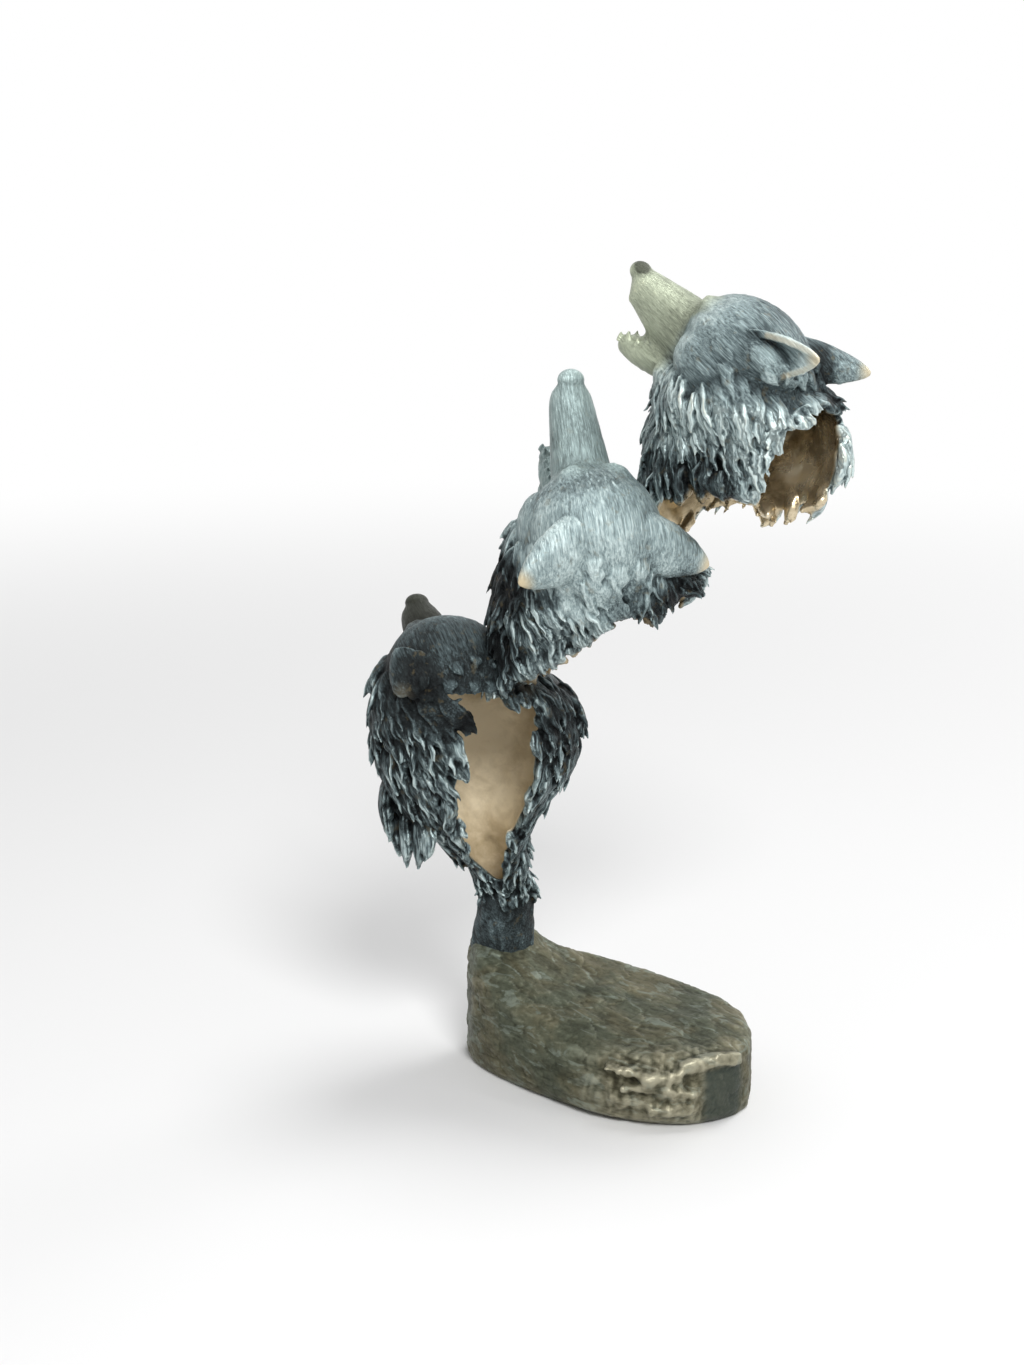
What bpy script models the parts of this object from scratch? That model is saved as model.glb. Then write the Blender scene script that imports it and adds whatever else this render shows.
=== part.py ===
"""Bronze sculpture: three howling wolf busts, hollow and open at the back, rising in an arc from a rock.

The real object is one casting, so the model is one closed solid. Metres, +Z up, the origin in the middle
of the rock's flat underside. The busts face away from -Y and, higher up, to -X.
"""

import math
import random

import bmesh
import bpy
import numpy as np
from mathutils import Euler, Matrix, Vector
from mathutils.bvhtree import BVHTree

# The casting
WALL = 0.0042
FORM_VOXEL = 0.0022
CAST_VOXEL = 0.0014
MOST_TRIANGLES = 11600

# A wolf's head at scale 1, along its own axes: x to the nose, y to its left, z to the crown
SKULL_RADII = (0.036, 0.0355, 0.028)
CHEEK_RADII = (0.024, 0.015, 0.019)
CHEEK_PLACE = (0.003, 0.022, -0.010)
BROW_RADII = (0.016, 0.011, 0.006)
BROW_PLACE = (0.019, 0.011, 0.0095)
EYE_RADIUS = 0.0042
EYE_PLACE = (0.0285, 0.0140, 0.0050)
MUZZLE_START = 0.016
MUZZLE_ROOT = (0.0180, 0.0120, 0.0200)
MUZZLE_TIP = (0.0105, 0.0065, 0.0100)
LIP_FLARE = 0.16
MUZZLE_BELLY = 1.6
NOSE_RADII = (0.0058, 0.0072, 0.0052)
JAW_HINGE = (-0.002, 0.0, -0.016)
JAW_LENGTH = 0.066
JAW_ROOT = (0.0175, 0.0070, 0.0150)
JAW_TIP = (0.0082, 0.0040, 0.0075)
TONGUE_RADII = (0.024, 0.0062, 0.0034)
CANINE_LENGTH = 0.0085
UPPER_CANINE_LENGTH = 0.0050
CANINE_RADIUS = 0.0019
EAR_WALL = 0.0035
EAR_ROOT_RADII = (0.0150, 0.0120, 0.0100)

# The rock, in millimetres: near edge (x, y, height of the top) and far edge of each section, left to right
ROCK_VOXEL = 0.0018
ROCK_EDGES = [
    (-75, 58, 62, -68, 72, 70),
    (-71, 38, 66, -52, 76, 79),
    (-59, 19, 57, -36, 75, 76),
    (-44, 2, 48, -18, 73, 66),
    (-23, -18, 41, 4, 73, 60),
    (-2, -34, 38, 25, 70, 55),
    (23, -43, 38, 46, 61, 50),
    (46, -43, 39, 65, 46, 46),
    (66, -32, 39, 77, 28, 42),
    (77, -17, 35, 81, 7, 37),
]
ROCK_SECTION = [
    (0.08, 0.0),
    (0.02, 0.12),
    (0.0, 0.35),
    (0.01, 0.62),
    (0.04, 0.85),
    (0.11, 0.96),
    (0.25, 1.0),
    (0.5, 1.02),
    (0.75, 1.0),
    (0.90, 0.96),
    (0.97, 0.82),
    (1.0, 0.55),
    (1.0, 0.3),
    (0.98, 0.12),
    (0.92, 0.0),
]
# Slabs (centre, size, turn, tilt, lean) that stand out of the rock's near end, and those cut away from it
ROCK_LEDGES = [
    ((10, -36, 31), (22, 12, 4), -14, 6, -12),
    ((28, -41, 30), (20, 11, 5), 6, -5, 10),
    ((20, -40, 23), (26, 10, 4), -4, -3, -10),
    ((38, -42, 21), (20, 9, 5), 12, 6, 8),
    ((14, -36, 15), (24, 10, 5), -10, 4, -6),
    ((34, -41, 12), (26, 10, 5), 4, -5, 6),
    ((45, -36, 35), (16, 12, 6), 16, -6, -6),
    ((62, -30, 35), (18, 13, 7), 30, 8, -14),
]
ROCK_CUTS = [
    ((66, -52, 15), (34, 22, 28), 30, 0, -6),
]

# Locks of fur
LOCK_LENGTH = 0.023
LOCK_WIDTH = 0.0105
LOCK_HEIGHT = 0.0034
LOCK_ROW = 0.0105
LOCK_STEPS = 7
LOCK_SECTION = ((1, 0), (0.5, 0.8), (0, 1.0), (-0.5, 0.8), (-1, 0), (-0.5, -0.9), (0.5, -0.9))
LOCK_LIFT = 0.0021
LOCK_SINK = 0.7
NECK_OVERHANG = 0.006
SKULL_OVERHANG = 0.011
SKULL_ROWS = ((0.10, 15), (0.42, 15), (0.74, 12), (0.95, 7))
HUG_REACH = 0.005
ROOT_REACH = 0.0025
TOUCH_REACH = 0.014
HANG = 0.25


class Station:
    """One cross-section of a neck: where it is, its two half sizes, and the share of it that is open."""

    def __init__(self, centre, half_width, half_depth, open_at=90.0, open_half=0.0):
        millimetres = (*centre, half_width, half_depth)
        self.values = [value * 0.001 for value in millimetres] + [open_at, open_half]


def smooth_rows(values, count):
    """count rows read off a Catmull-Rom curve through the given rows."""
    rows = np.asarray(values, float)
    padded = np.vstack([2 * rows[0] - rows[1], rows, 2 * rows[-1] - rows[-2]])
    found = []
    for step in np.linspace(0, len(rows) - 1, count):
        i = min(int(step), len(rows) - 2)
        t = step - i
        a, b, c, d = padded[i : i + 4]
        bend = (2 * a - 5 * b + 4 * c - d) * t**2 + (3 * b - a - 3 * c + d) * t**3
        found.append(0.5 * (2 * b + (c - a) * t + bend))
    return np.array(found)


def add_rings(bm, rings):
    """A closed body through rings of points, each with the same number of points."""
    loops = [[bm.verts.new(point) for point in ring] for ring in rings]
    count = len(loops[0])
    for low, high in zip(loops, loops[1:]):
        for i in range(count):
            bm.faces.new((low[i], low[(i + 1) % count], high[(i + 1) % count], high[i]))
    bm.faces.new(loops[0][::-1])
    bm.faces.new(loops[-1])


def add_ball(bm, matrix, centre, radii):
    place = matrix @ Matrix.Translation(centre) @ Matrix.Diagonal((*radii, 1.0))
    bmesh.ops.create_uvsphere(bm, u_segments=24, v_segments=16, radius=1.0, matrix=place)


def mesh_from(bm, name):
    bmesh.ops.recalc_face_normals(bm, faces=bm.faces)
    mesh = bpy.data.meshes.new(name)
    bm.to_mesh(mesh)
    bm.free()
    return mesh


def evaluated(mesh, *modifiers):
    """The mesh after the given modifiers, each (type, settings)."""
    helper = bpy.data.objects.new("helper", mesh)
    bpy.context.scene.collection.objects.link(helper)
    for kind, settings in modifiers:
        modifier = helper.modifiers.new(kind, kind)
        for key, value in settings.items():
            setattr(modifier, key, value)
    graph = bpy.context.evaluated_depsgraph_get()
    made = bpy.data.meshes.new_from_object(helper.evaluated_get(graph))
    bpy.data.objects.remove(helper)
    return made


def fused(mesh, voxel, smooth=0):
    steps = [("REMESH", {"mode": "VOXEL", "voxel_size": voxel, "adaptivity": 0.0})]
    if smooth:
        steps.append(("SMOOTH", {"factor": 0.5, "iterations": smooth}))
    return evaluated(mesh, *steps)


def cut(mesh, cutter):
    """The mesh with the cutter's volume taken away."""
    tool = bpy.data.objects.new("tool", cutter)
    bpy.context.scene.collection.objects.link(tool)
    settings = {"operation": "DIFFERENCE", "object": tool, "solver": "EXACT"}
    made = evaluated(mesh, ("BOOLEAN", settings))
    bpy.data.objects.remove(tool)
    return made


class Wolf:
    """One bust: its head's place and attitude, its neck's stations downwards, and its free lower edge.

    ends lists (angle, share): how far down the neck the wall reaches, at angles round it. Angle 0 is the
    wolf's left, 90 its nape, 180 its right and 270 its throat.
    """

    def __init__(
        self,
        name,
        skull,
        heading,
        pitch,
        roll,
        scale,
        muzzle,
        jaw,
        ears,
        neck,
        ends,
        manes,
        fringe,
        seed,
    ):
        self.name = name
        self.scale = scale
        self.seed = seed
        self.muzzle = muzzle
        self.jaw = jaw
        self.manes = manes
        self.fringe = fringe
        self.ears = ears
        heading, pitch, roll = map(math.radians, (heading, pitch, roll))
        ahead = Vector((-math.sin(heading), math.cos(heading), 0.0))
        level = Vector((-math.cos(heading), -math.sin(heading), 0.0))
        forward = ahead * math.cos(pitch) + Vector((0, 0, math.sin(pitch)))
        left = Matrix.Rotation(roll, 3, forward) @ level
        crown = forward.cross(left)
        axes = Matrix((forward, left, crown)).transposed().to_4x4()
        self.matrix = Matrix.Translation(Vector(skull) * 0.001) @ axes @ Matrix.Scale(scale, 4)
        self.left = level
        self.neck = smooth_rows([station.values for station in neck], 60)
        self.angles = [pair[0] for pair in ends]
        self.shares = [pair[1] for pair in ends]

    def at(self, t):
        """The neck's values a share t of the way down it."""
        step = min(max(t, 0.0), 1.0) * (len(self.neck) - 1)
        i = min(int(step), len(self.neck) - 2)
        return self.neck[i] + (self.neck[i + 1] - self.neck[i]) * (step - i)

    def tangent(self, t):
        step = 0.04
        return (Vector(self.at(t + step)[:3]) - Vector(self.at(t - step)[:3])).normalized()

    def reach(self, angle):
        """How far down the neck the wall reaches at this angle, in degrees."""
        return float(np.interp(angle % 360, self.angles, self.shares, period=360))

    def point(self, t, angle, grow=0.0, share=1.0):
        """A point of the neck's wall, angle in degrees."""
        x, y, z, half_width, half_depth = self.at(t)[:5]
        down = self.tangent(t)
        nape = self.left.cross(down).normalized()
        turn = math.radians(angle)
        side = self.left * (half_width + grow) * share * math.cos(turn)
        return Vector((x, y, z)) + side + nape * (half_depth + grow) * share * math.sin(turn)


def neck_body(bm, wolf, grow=0.0, drop=0.0):
    rings = []
    steps = 30
    for i in range(steps + 1):
        ring = []
        for k in range(40):
            angle = 360 * k / 40
            t = wolf.reach(angle) * i / steps
            extra = wolf.tangent(t) * drop if i == steps else Vector()
            ring.append(wolf.point(t, angle, grow) + extra)
        rings.append(ring)
    add_rings(bm, rings)


def add_opening(bm, wolf):
    """The wedge that opens the neck at the nape, with ragged edges."""
    chance = random.Random(wolf.seed)
    rings = []
    steps = 26
    for i in range(steps + 1):
        t = i / steps
        open_at, open_half = wolf.at(t)[5:7]
        if open_half < 5:
            continue
        low = open_at - open_half + chance.uniform(-5, 5)
        high = open_at + open_half + chance.uniform(-5, 5)
        extra = wolf.tangent(t) * (0.03 if i == steps else 0.0)
        ring = [wolf.point(t, (low + high) / 2, share=0.0) + extra]
        for k in range(9):
            ring.append(wolf.point(t, low + (high - low) * k / 8, grow=0.025, share=1.1) + extra)
        rings.append(ring)
    add_rings(bm, rings)


def head_form(bm, wolf, grow=0.0):
    """The skull and cheeks. grow below 0 gives the hollow inside them."""
    grow = grow / wolf.scale
    add_ball(bm, wolf.matrix, (0, 0, 0), [r + grow for r in SKULL_RADII])
    for side in (1, -1):
        x, y, z = CHEEK_PLACE
        add_ball(bm, wolf.matrix, (x, y * side, z), [r + grow for r in CHEEK_RADII])
    if grow == 0:
        for side, shape in zip((1, -1), wolf.ears):
            x, y, z = shape[0]
            add_ball(bm, wolf.matrix, (x, y * side * 0.86, z * 0.80), EAR_ROOT_RADII)


def snout_loft(bm, wolf, start, end, root, tip, blunt, flare=0.0, belly=0.85):
    """A tapering limb with a rounded end. root and tip are (half width, height above, depth below)."""
    start, end = Vector(start), Vector(end)
    axis = (end - start).normalized()
    across = Vector((0, 1, 0))
    across = (across - axis * across.dot(axis)).normalized()
    upward = axis.cross(across)
    rings = []
    steps = 12
    for i in range(steps + 1):
        t = i / steps
        rounding = math.sqrt(max(0.12, 1 - max(0.0, (t - 1 + blunt) / blunt) ** 2))
        tapers = (t**0.85, t**0.85, t**belly)
        width, above, below = [(a + (b - a) * s) * rounding for a, b, s in zip(root, tip, tapers)]
        centre = start.lerp(end, t)
        ring = []
        for k in range(24):
            angle = math.tau * k / 24
            rise = math.sin(angle)
            side = width * math.cos(angle) * (1 - flare * rise)
            height = rise * (above if rise > 0 else below)
            ring.append(wolf.matrix @ (centre + across * side + upward * height))
        rings.append(ring)
    add_rings(bm, rings)


def add_tooth(bm, wolf, place, along, length, radius):
    """A cone with its foot sunk in the gum."""
    turned = along.to_track_quat("Z", "Y").to_matrix().to_4x4()
    centre = Matrix.Translation(place + along * (length / 2 - 0.0015))
    bmesh.ops.create_cone(
        bm,
        cap_ends=True,
        segments=8,
        radius1=radius,
        radius2=radius * 0.3,
        depth=length,
        matrix=wolf.matrix @ centre @ turned,
    )


def add_jaw(bm, wolf, yaw, lift):
    """The lower jaw, its tongue and the canines of both jaws."""
    opening, share = wolf.jaw
    turn = lift - math.radians(opening)
    along = Vector((math.cos(turn) * math.cos(yaw), math.cos(turn) * math.sin(yaw), math.sin(turn)))
    upward = Vector((-math.sin(turn), 0, math.cos(turn)))
    hinge = Vector(JAW_HINGE)
    length = JAW_LENGTH * share
    snout_loft(bm, wolf, hinge, hinge + along * length, JAW_ROOT, JAW_TIP, 0.3)
    tilt = Matrix.Rotation(-turn, 4, "Y")
    tongue = hinge + along * length * 0.62 + upward * 0.0042
    add_ball(bm, wolf.matrix @ Matrix.Translation(tongue) @ tilt, (0, 0, 0), TONGUE_RADII)
    for side in (1, -1):
        foot = hinge + along * length * 0.90 + upward * 0.0015 + Vector((0, side * 0.0052, 0))
        add_tooth(bm, wolf, foot, upward, CANINE_LENGTH, CANINE_RADIUS)


def face(bm, wolf):
    """What stands out of the skull in front: muzzle, nose, brows, eyes, jaw and teeth."""
    length, yaw, lift, depth = wolf.muzzle
    yaw, lift = math.radians(yaw), math.radians(lift)
    along = Vector((math.cos(yaw) * math.cos(lift), math.sin(yaw) * math.cos(lift), math.sin(lift)))
    start = Vector((MUZZLE_START, 0, -0.002))
    end = start + along * length
    width, above, below = MUZZLE_ROOT
    root = (width, above, below * depth)
    snout_loft(bm, wolf, start, end, root, MUZZLE_TIP, 0.14, LIP_FLARE, MUZZLE_BELLY)
    add_ball(bm, wolf.matrix, end + Vector((-0.001, 0, 0.0025)), NOSE_RADII)
    for side in (1, -1):
        x, y, z = BROW_PLACE
        add_ball(bm, wolf.matrix, (x, y * side, z), BROW_RADII)
        x, y, z = EYE_PLACE
        add_ball(bm, wolf.matrix, (x, y * side, z), (EYE_RADIUS, EYE_RADIUS, EYE_RADIUS))
        fang = start + along * length * 0.86 + Vector((0, side * 0.0078, -0.0075 * depth))
        add_tooth(bm, wolf, fang, Vector((0.05, 0, -1)).normalized(), UPPER_CANINE_LENGTH, CANINE_RADIUS)
    add_jaw(bm, wolf, yaw, lift)


def ear(bm, wolf, side, place, direction, facing, length, width):
    """A pointed ear: a cupped sheet whose hollow looks along facing. side mirrors the left ear's numbers."""
    mirror = Vector((1, side, 1))
    direction = (Vector(direction) * mirror).normalized()
    facing = Vector(facing) * mirror
    facing = (facing - direction * facing.dot(direction)).normalized()
    across = direction.cross(facing).normalized()
    sunk = 0.010
    root = Vector(place) * mirror - direction * sunk
    rings = []
    steps = 10
    for i in range(steps + 1):
        t = i / steps
        half = width / 2 * (1 - t**2.0) ** 0.75 + 0.0012
        depth = half * 0.60
        wall = min(EAR_WALL, half * 0.5)
        centre = root + direction * (length + sunk) * t
        outer, inner = [], []
        for k in range(11):
            angle = math.pi * k / 10
            outer.append(centre + across * half * math.cos(angle) - facing * depth * math.sin(angle))
            reach = across * (half - wall) * math.cos(angle) - facing * (depth - wall) * math.sin(angle)
            inner.append(centre + reach + facing * 0.0008)
        rings.append([wolf.matrix @ p for p in outer + inner[::-1]])
    add_rings(bm, rings)


def combed(surface, root, direction, normal, length, curl, overhang):
    """Points, directions and normals of a line over the surface, hanging past its edge by the overhang."""
    line = []
    place = Vector(root)
    steps = LOCK_STEPS
    free = 0.0
    for i in range(steps + 1):
        near, near_normal, _, distance = surface.find_nearest(place)
        past = abs((place - near).dot(direction))
        if distance < HUG_REACH and past < HUG_REACH * 0.3 and near_normal.dot(normal) > 0.3:
            place, normal = near, (normal + near_normal).normalized()
        else:
            direction = direction + Vector((0, 0, -HANG))
            free += length / steps
        direction = (direction - normal * direction.dot(normal)).normalized()
        line.append((place.copy(), direction.copy(), normal.copy()))
        if free > overhang and len(line) > 3:
            break
        across = direction.cross(normal)
        bend = curl * math.sin(math.tau * (i / steps - 0.1))
        direction = (direction + across * bend).normalized()
        place = place + direction * (length / steps)
    return line


def lock(bm, line, width, height, lift):
    """One tapering lock of fur along a combed line, its root sunk in and its tip a little raised."""
    rings = []
    for i, (place, direction, normal) in enumerate(line):
        t = i / (len(line) - 1)
        across = direction.cross(normal).normalized()
        swell = math.sin(math.pi * min(1.0, 0.16 + t * 0.84)) ** 0.7
        half = width / 2 * max(0.08, swell)
        thick = height * max(0.14, swell) * (0.7 + 0.5 * t)
        centre = place + normal * (lift * t * t - height * LOCK_SINK * (1 - t) ** 4)
        rings.append([centre + across * half * a + normal * thick * b for a, b in LOCK_SECTION])
    add_rings(bm, rings)


def touch(wolf, surface, t, angle):
    """Where the outer surface lies at this share of the neck and angle, its normal, and the way round it."""
    centre = Vector(wolf.at(t)[:3])
    target = wolf.point(t, angle)
    ray = target - centre
    hit, normal, _, _ = surface.ray_cast(centre + ray * 2.2, -ray.normalized())
    if hit is not None and (hit - target).length > TOUCH_REACH:
        hit = None
    return hit, normal, (wolf.point(t, angle + 3) - target).normalized()


def stands(shell, place):
    """Whether the cut shell is still there at this place of the whole form."""
    return shell.find_nearest(place)[3] < ROOT_REACH


def fur_of_neck(bm, wolf, whole, shell):
    """Rows of locks down the neck and round it, swept towards the opening."""
    chance = random.Random(wolf.seed + 1)
    places = [Vector(wolf.at(i / 50)[:3]) for i in range(51)]
    rows = int(sum((a - b).length for a, b in zip(places, places[1:])) / LOCK_ROW)
    for row in range(rows + 1):
        values = wolf.at(row / rows)
        size = min(1.0, (values[3] + values[4]) / 0.060)
        count = max(6, int(math.pi * (values[3] + values[4]) / (LOCK_WIDTH * 0.86)))
        for k in range(count):
            angle = 360 * (k + 0.5 * (row % 2) + chance.uniform(-0.3, 0.3)) / count
            t = max(0.03, (row + chance.uniform(-0.45, 0.45)) / rows)
            sway, tilt, swell, rise = [chance.uniform(-1, 1) for _ in range(4)]
            if t > wolf.reach(angle) + 0.02:
                continue
            hit, normal, turn = touch(wolf, whole, t, angle)
            if hit is None or normal.z > 0.7 or not stands(shell, hit):
                continue
            away = (angle - wolf.at(t)[5] + 180) % 360 - 180
            sweep = math.copysign(0.32, -away) if abs(away) < 150 else 0.3 * tilt
            flow = wolf.tangent(t) + turn * (sweep + 0.2 * sway)
            length = LOCK_LENGTH * size * (1.08 + 0.34 * swell)
            line = combed(shell, hit, flow, normal, length, 0.16 * tilt, NECK_OVERHANG * (1.0 + 0.6 * swell))
            width = LOCK_WIDTH * size * (1.0 + 0.22 * sway)
            height = LOCK_HEIGHT * size * (1.0 + 0.3 * rise)
            lock(bm, line, width, height, LOCK_LIFT * size * (1.0 + 0.8 * swell))


def fur_of_skull(bm, wolf, whole, shell):
    """Locks round the back half of the skull, combed backwards over the rim of the opening."""
    chance = random.Random(wolf.seed + 3)
    back = (wolf.matrix.to_3x3() @ Vector((-1, 0, 0))).normalized()
    for share, count in SKULL_ROWS:
        for k in range(count):
            angle = math.tau * (k + chance.uniform(-0.25, 0.25)) / count
            shift = chance.uniform(-0.004, 0.004)
            sway, swell, rise = [chance.uniform(-1, 1) for _ in range(3)]
            if share < 0.4 and math.sin(angle) > 0.2:
                continue
            around = math.sqrt(1 - share * share)
            x, y, z = SKULL_RADII
            outside = Vector((-x * share + shift, y * around * math.cos(angle), z * around * math.sin(angle)))
            hit, normal, _, _ = whole.find_nearest(wolf.matrix @ (outside * 1.15))
            if not stands(shell, hit):
                continue
            flow = back + Vector((0, 0, -0.5)) * share
            length = LOCK_LENGTH * wolf.fringe * (0.92 + 0.22 * swell) * (0.6 + 0.4 * share)
            overhang = SKULL_OVERHANG * wolf.fringe * (1.0 + 0.5 * swell)
            line = combed(shell, hit, flow, normal, length, 0.15 * sway, overhang)
            width = LOCK_WIDTH * (0.45 + 0.45 * wolf.fringe + 0.15 * rise)
            lock(bm, line, width, LOCK_HEIGHT * (0.62 + 0.18 * rise), LOCK_LIFT * (0.6 + 0.4 * swell))


def hanging_mane(bm, wolf, surface):
    """The long locks that hang free of the neck, straight down."""
    chance = random.Random(wolf.seed + 2)
    for t, angle, length in wolf.manes:
        hit, normal, turn = touch(wolf, surface, t, angle)
        down = (Vector((0.03, 0, -1)) + turn * chance.uniform(-0.1, 0.1)).normalized()
        length = length * 0.001
        line = []
        for i in range(LOCK_STEPS + 2):
            share = i / (LOCK_STEPS + 1)
            sway = turn * length * 0.06 * math.sin(math.pi * 1.6 * share + t * 40)
            line.append((hit + down * length * share + sway - normal * 0.002 * share * share, down, normal))
        lock(bm, line, length * 0.34, 0.0046, 0.0)


def tree_of(mesh):
    return BVHTree.FromPolygons([v.co for v in mesh.vertices], [p.vertices for p in mesh.polygons])


def bust(wolf):
    """The bust as closed bodies that overlap: the cut shell, the ears and the locks."""
    bm = bmesh.new()
    head_form(bm, wolf)
    face(bm, wolf)
    neck_body(bm, wolf)
    form = fused(mesh_from(bm, "form"), FORM_VOXEL, smooth=5)
    whole = tree_of(form)
    hollow = bmesh.new()
    head_form(hollow, wolf, -WALL)
    neck_body(hollow, wolf, -WALL, drop=0.02)
    add_opening(hollow, wolf)
    shell = cut(form, fused(mesh_from(hollow, "hollow"), FORM_VOXEL, smooth=2))
    bm = bmesh.new()
    bm.from_mesh(shell)
    for side, shape in zip((1, -1), wolf.ears):
        ear(bm, wolf, side, *shape)
    fur_of_neck(bm, wolf, whole, tree_of(shell))
    fur_of_skull(bm, wolf, whole, tree_of(shell))
    hanging_mane(bm, wolf, whole)
    return mesh_from(bm, wolf.name)


LOWER = Wolf(
    "lower",
    (-81, 13, 234),
    heading=22,
    pitch=26,
    roll=0,
    scale=0.92,
    muzzle=(0.0475, 0, 0, 1.0),
    jaw=(24, 1.0),
    ears=(
        ((-0.012, 0.030, 0.012), (-0.62, 0.45, -0.30), (-0.20, 0.10, -0.95), 0.017, 0.024),
        ((-0.012, 0.030, 0.012), (-0.62, 0.45, -0.30), (-0.20, 0.10, -0.95), 0.017, 0.024),
    ),
    neck=[
        Station((-79, 18, 240), 34, 30, 84, 20),
        Station((-73, 25, 226), 47, 36, 96, 28),
        Station((-68, 30, 209), 54, 38, 89, 27),
        Station((-68, 34, 184), 53, 38, 87, 29),
        Station((-71, 39, 160), 40, 33, 94, 33),
        Station((-68, 46, 138), 24, 24, 84, 34),
        Station((-59, 53, 118), 17, 18, 62, 30),
        Station((-52, 56, 102), 14, 14, 60, 0),
        Station((-53, 58, 84), 16, 15, 90, 0),
        Station((-54, 59, 62), 18, 17, 90, 0),
    ],
    ends=[(0, 1.0), (180, 1.0)],
    manes=[
        (0.40, -34, 38),
        (0.42, -16, 42),
        (0.44, 2, 40),
        (0.45, 20, 34),
        (0.44, 36, 28),
        (0.36, -6, 42),
        (0.36, -52, 36),
    ],
    fringe=0.5,
    seed=11,
)
MIDDLE = Wolf(
    "middle",
    (-7, -12, 310),
    heading=22,
    pitch=66,
    roll=0,
    scale=1.0,
    muzzle=(0.066, 0, 0, 1.0),
    jaw=(24, 1.0),
    ears=(
        ((-0.010, 0.023, 0.014), (-0.45, 0.85, -0.05), (0.25, 0.15, -0.95), 0.031, 0.030),
        ((-0.010, 0.022, 0.014), (-0.36, 0.88, -0.05), (0.25, 0.15, -0.95), 0.034, 0.030),
    ),
    neck=[
        Station((-7, -4, 314), 38, 30),
        Station((-5, 4, 299), 46, 36, 156, 0),
        Station((-2, 10, 284), 54, 41, 150, 30),
        Station((-6, 15, 266), 53, 39, 120, 58),
        Station((-14, 16, 249), 46, 35, 118, 56),
        Station((-26, 14, 225), 36, 30, 118, 58),
    ],
    ends=[
        (0, 1.0),
        (30, 0.96),
        (44, 0.82),
        (60, 0.66),
        (74, 0.42),
        (92, 0.31),
        (124, 0.28),
        (138, 0.56),
        (180, 0.56),
        (240, 0.70),
        (300, 0.92),
    ],
    manes=[],
    fringe=1.05,
    seed=22,
)
UPPER = Wolf(
    "upper",
    (70, 14, 396),
    heading=58,
    pitch=38,
    roll=6,
    scale=1.0,
    muzzle=(0.059, 0, -6.5, 1.5),
    jaw=(16, 1.02),
    ears=(
        ((-0.015, 0.027, 0.014), (-0.78, 0.24, 0.60), (0.10, 0.85, -0.45), 0.031, 0.024),
        ((-0.016, 0.020, 0.012), (-0.78, 0.50, 0.42), (0.10, 0.75, -0.55), 0.037, 0.024),
    ),
    neck=[
        Station((72, 16, 390), 38, 34),
        Station((71, 20, 374), 44, 44, 86, 34),
        Station((73, 24, 358), 44, 50, 72, 39),
        Station((68, 27, 339), 42, 50, 70, 38),
        Station((56, 28, 318), 36, 38, 70, 50),
        Station((44, 26, 299), 26, 28, 78, 60),
        Station((36, 22, 282), 19, 21, 90, 64),
    ],
    ends=[
        (0, 0.50),
        (50, 0.48),
        (108, 0.36),
        (117, 0.43),
        (126, 0.54),
        (135, 0.46),
        (144, 0.54),
        (157, 0.70),
        (171, 0.56),
        (225, 0.85),
        (270, 1.0),
        (315, 0.95),
        (335, 0.62),
    ],
    manes=[],
    fringe=0.6,
    seed=33,
)
WOLVES = (LOWER, MIDDLE, UPPER)


def rock_form():
    """The rock's bulk: a loft along its length through sections between its near and far edges."""
    bm = bmesh.new()
    rings = []
    edges = [[value * 0.001 for value in row] for row in ROCK_EDGES]
    for near_x, near_y, near_top, far_x, far_y, far_top in smooth_rows(edges, 22):
        near, far = Vector((near_x, near_y, 0)), Vector((far_x, far_y, 0))
        ring = []
        for across, rise in ROCK_SECTION:
            top = near_top + (far_top - near_top) * across
            point = near.lerp(far, across)
            ring.append((point.x, point.y, top * rise))
        rings.append(ring)
    add_rings(bm, rings)
    return bm


def slab(bm, centre, size, turn, tilt=0.0, lean=0.0):
    """A box turned about Z, tilted along its length and leaning across it, in millimetres and degrees."""
    turned = Euler([math.radians(angle) for angle in (lean, tilt, turn)]).to_matrix().to_4x4()
    sized = Matrix.Diagonal((*[value * 0.001 for value in size], 1.0))
    place = Matrix.Translation(Vector(centre) * 0.001) @ turned @ sized
    bmesh.ops.create_cube(bm, size=1.0, matrix=place)


def rock():
    """The rock with its broken ledges, the smooth facet and the notch at its right-hand end."""
    bm = rock_form()
    for ledge in ROCK_LEDGES:
        slab(bm, *ledge)
    form = fused(mesh_from(bm, "rock"), ROCK_VOXEL, smooth=3)
    for cut_place in ROCK_CUTS:
        tool = bmesh.new()
        slab(tool, *cut_place)
        form = cut(form, mesh_from(tool, "facet"))
    return form


def largest_body(mesh):
    """Only the largest connected body, which also fills any bubble sealed inside it."""
    bm = bmesh.new()
    bm.from_mesh(mesh)
    bm.verts.ensure_lookup_table()
    seen = [False] * len(bm.verts)
    bodies = []
    for start in bm.verts:
        if seen[start.index]:
            continue
        seen[start.index] = True
        group, edge = [start], [start]
        while edge:
            grown = []
            for vert in edge:
                for link in vert.link_edges:
                    other = link.other_vert(vert)
                    if not seen[other.index]:
                        seen[other.index] = True
                        grown.append(other)
            group += grown
            edge = grown
        bodies.append(group)
    bodies.sort(key=len)
    for group in bodies[:-1]:
        bmesh.ops.delete(bm, geom=group, context="VERTS")
    return mesh_from(bm, mesh.name)


def bronze():
    material = bpy.data.materials.new("patinated_bronze")
    material.use_nodes = True
    shader = material.node_tree.nodes["Principled BSDF"]
    shader.inputs["Base Color"].default_value = (0.075, 0.085, 0.095, 1.0)
    shader.inputs["Metallic"].default_value = 1.0
    shader.inputs["Roughness"].default_value = 0.45
    return material


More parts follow.
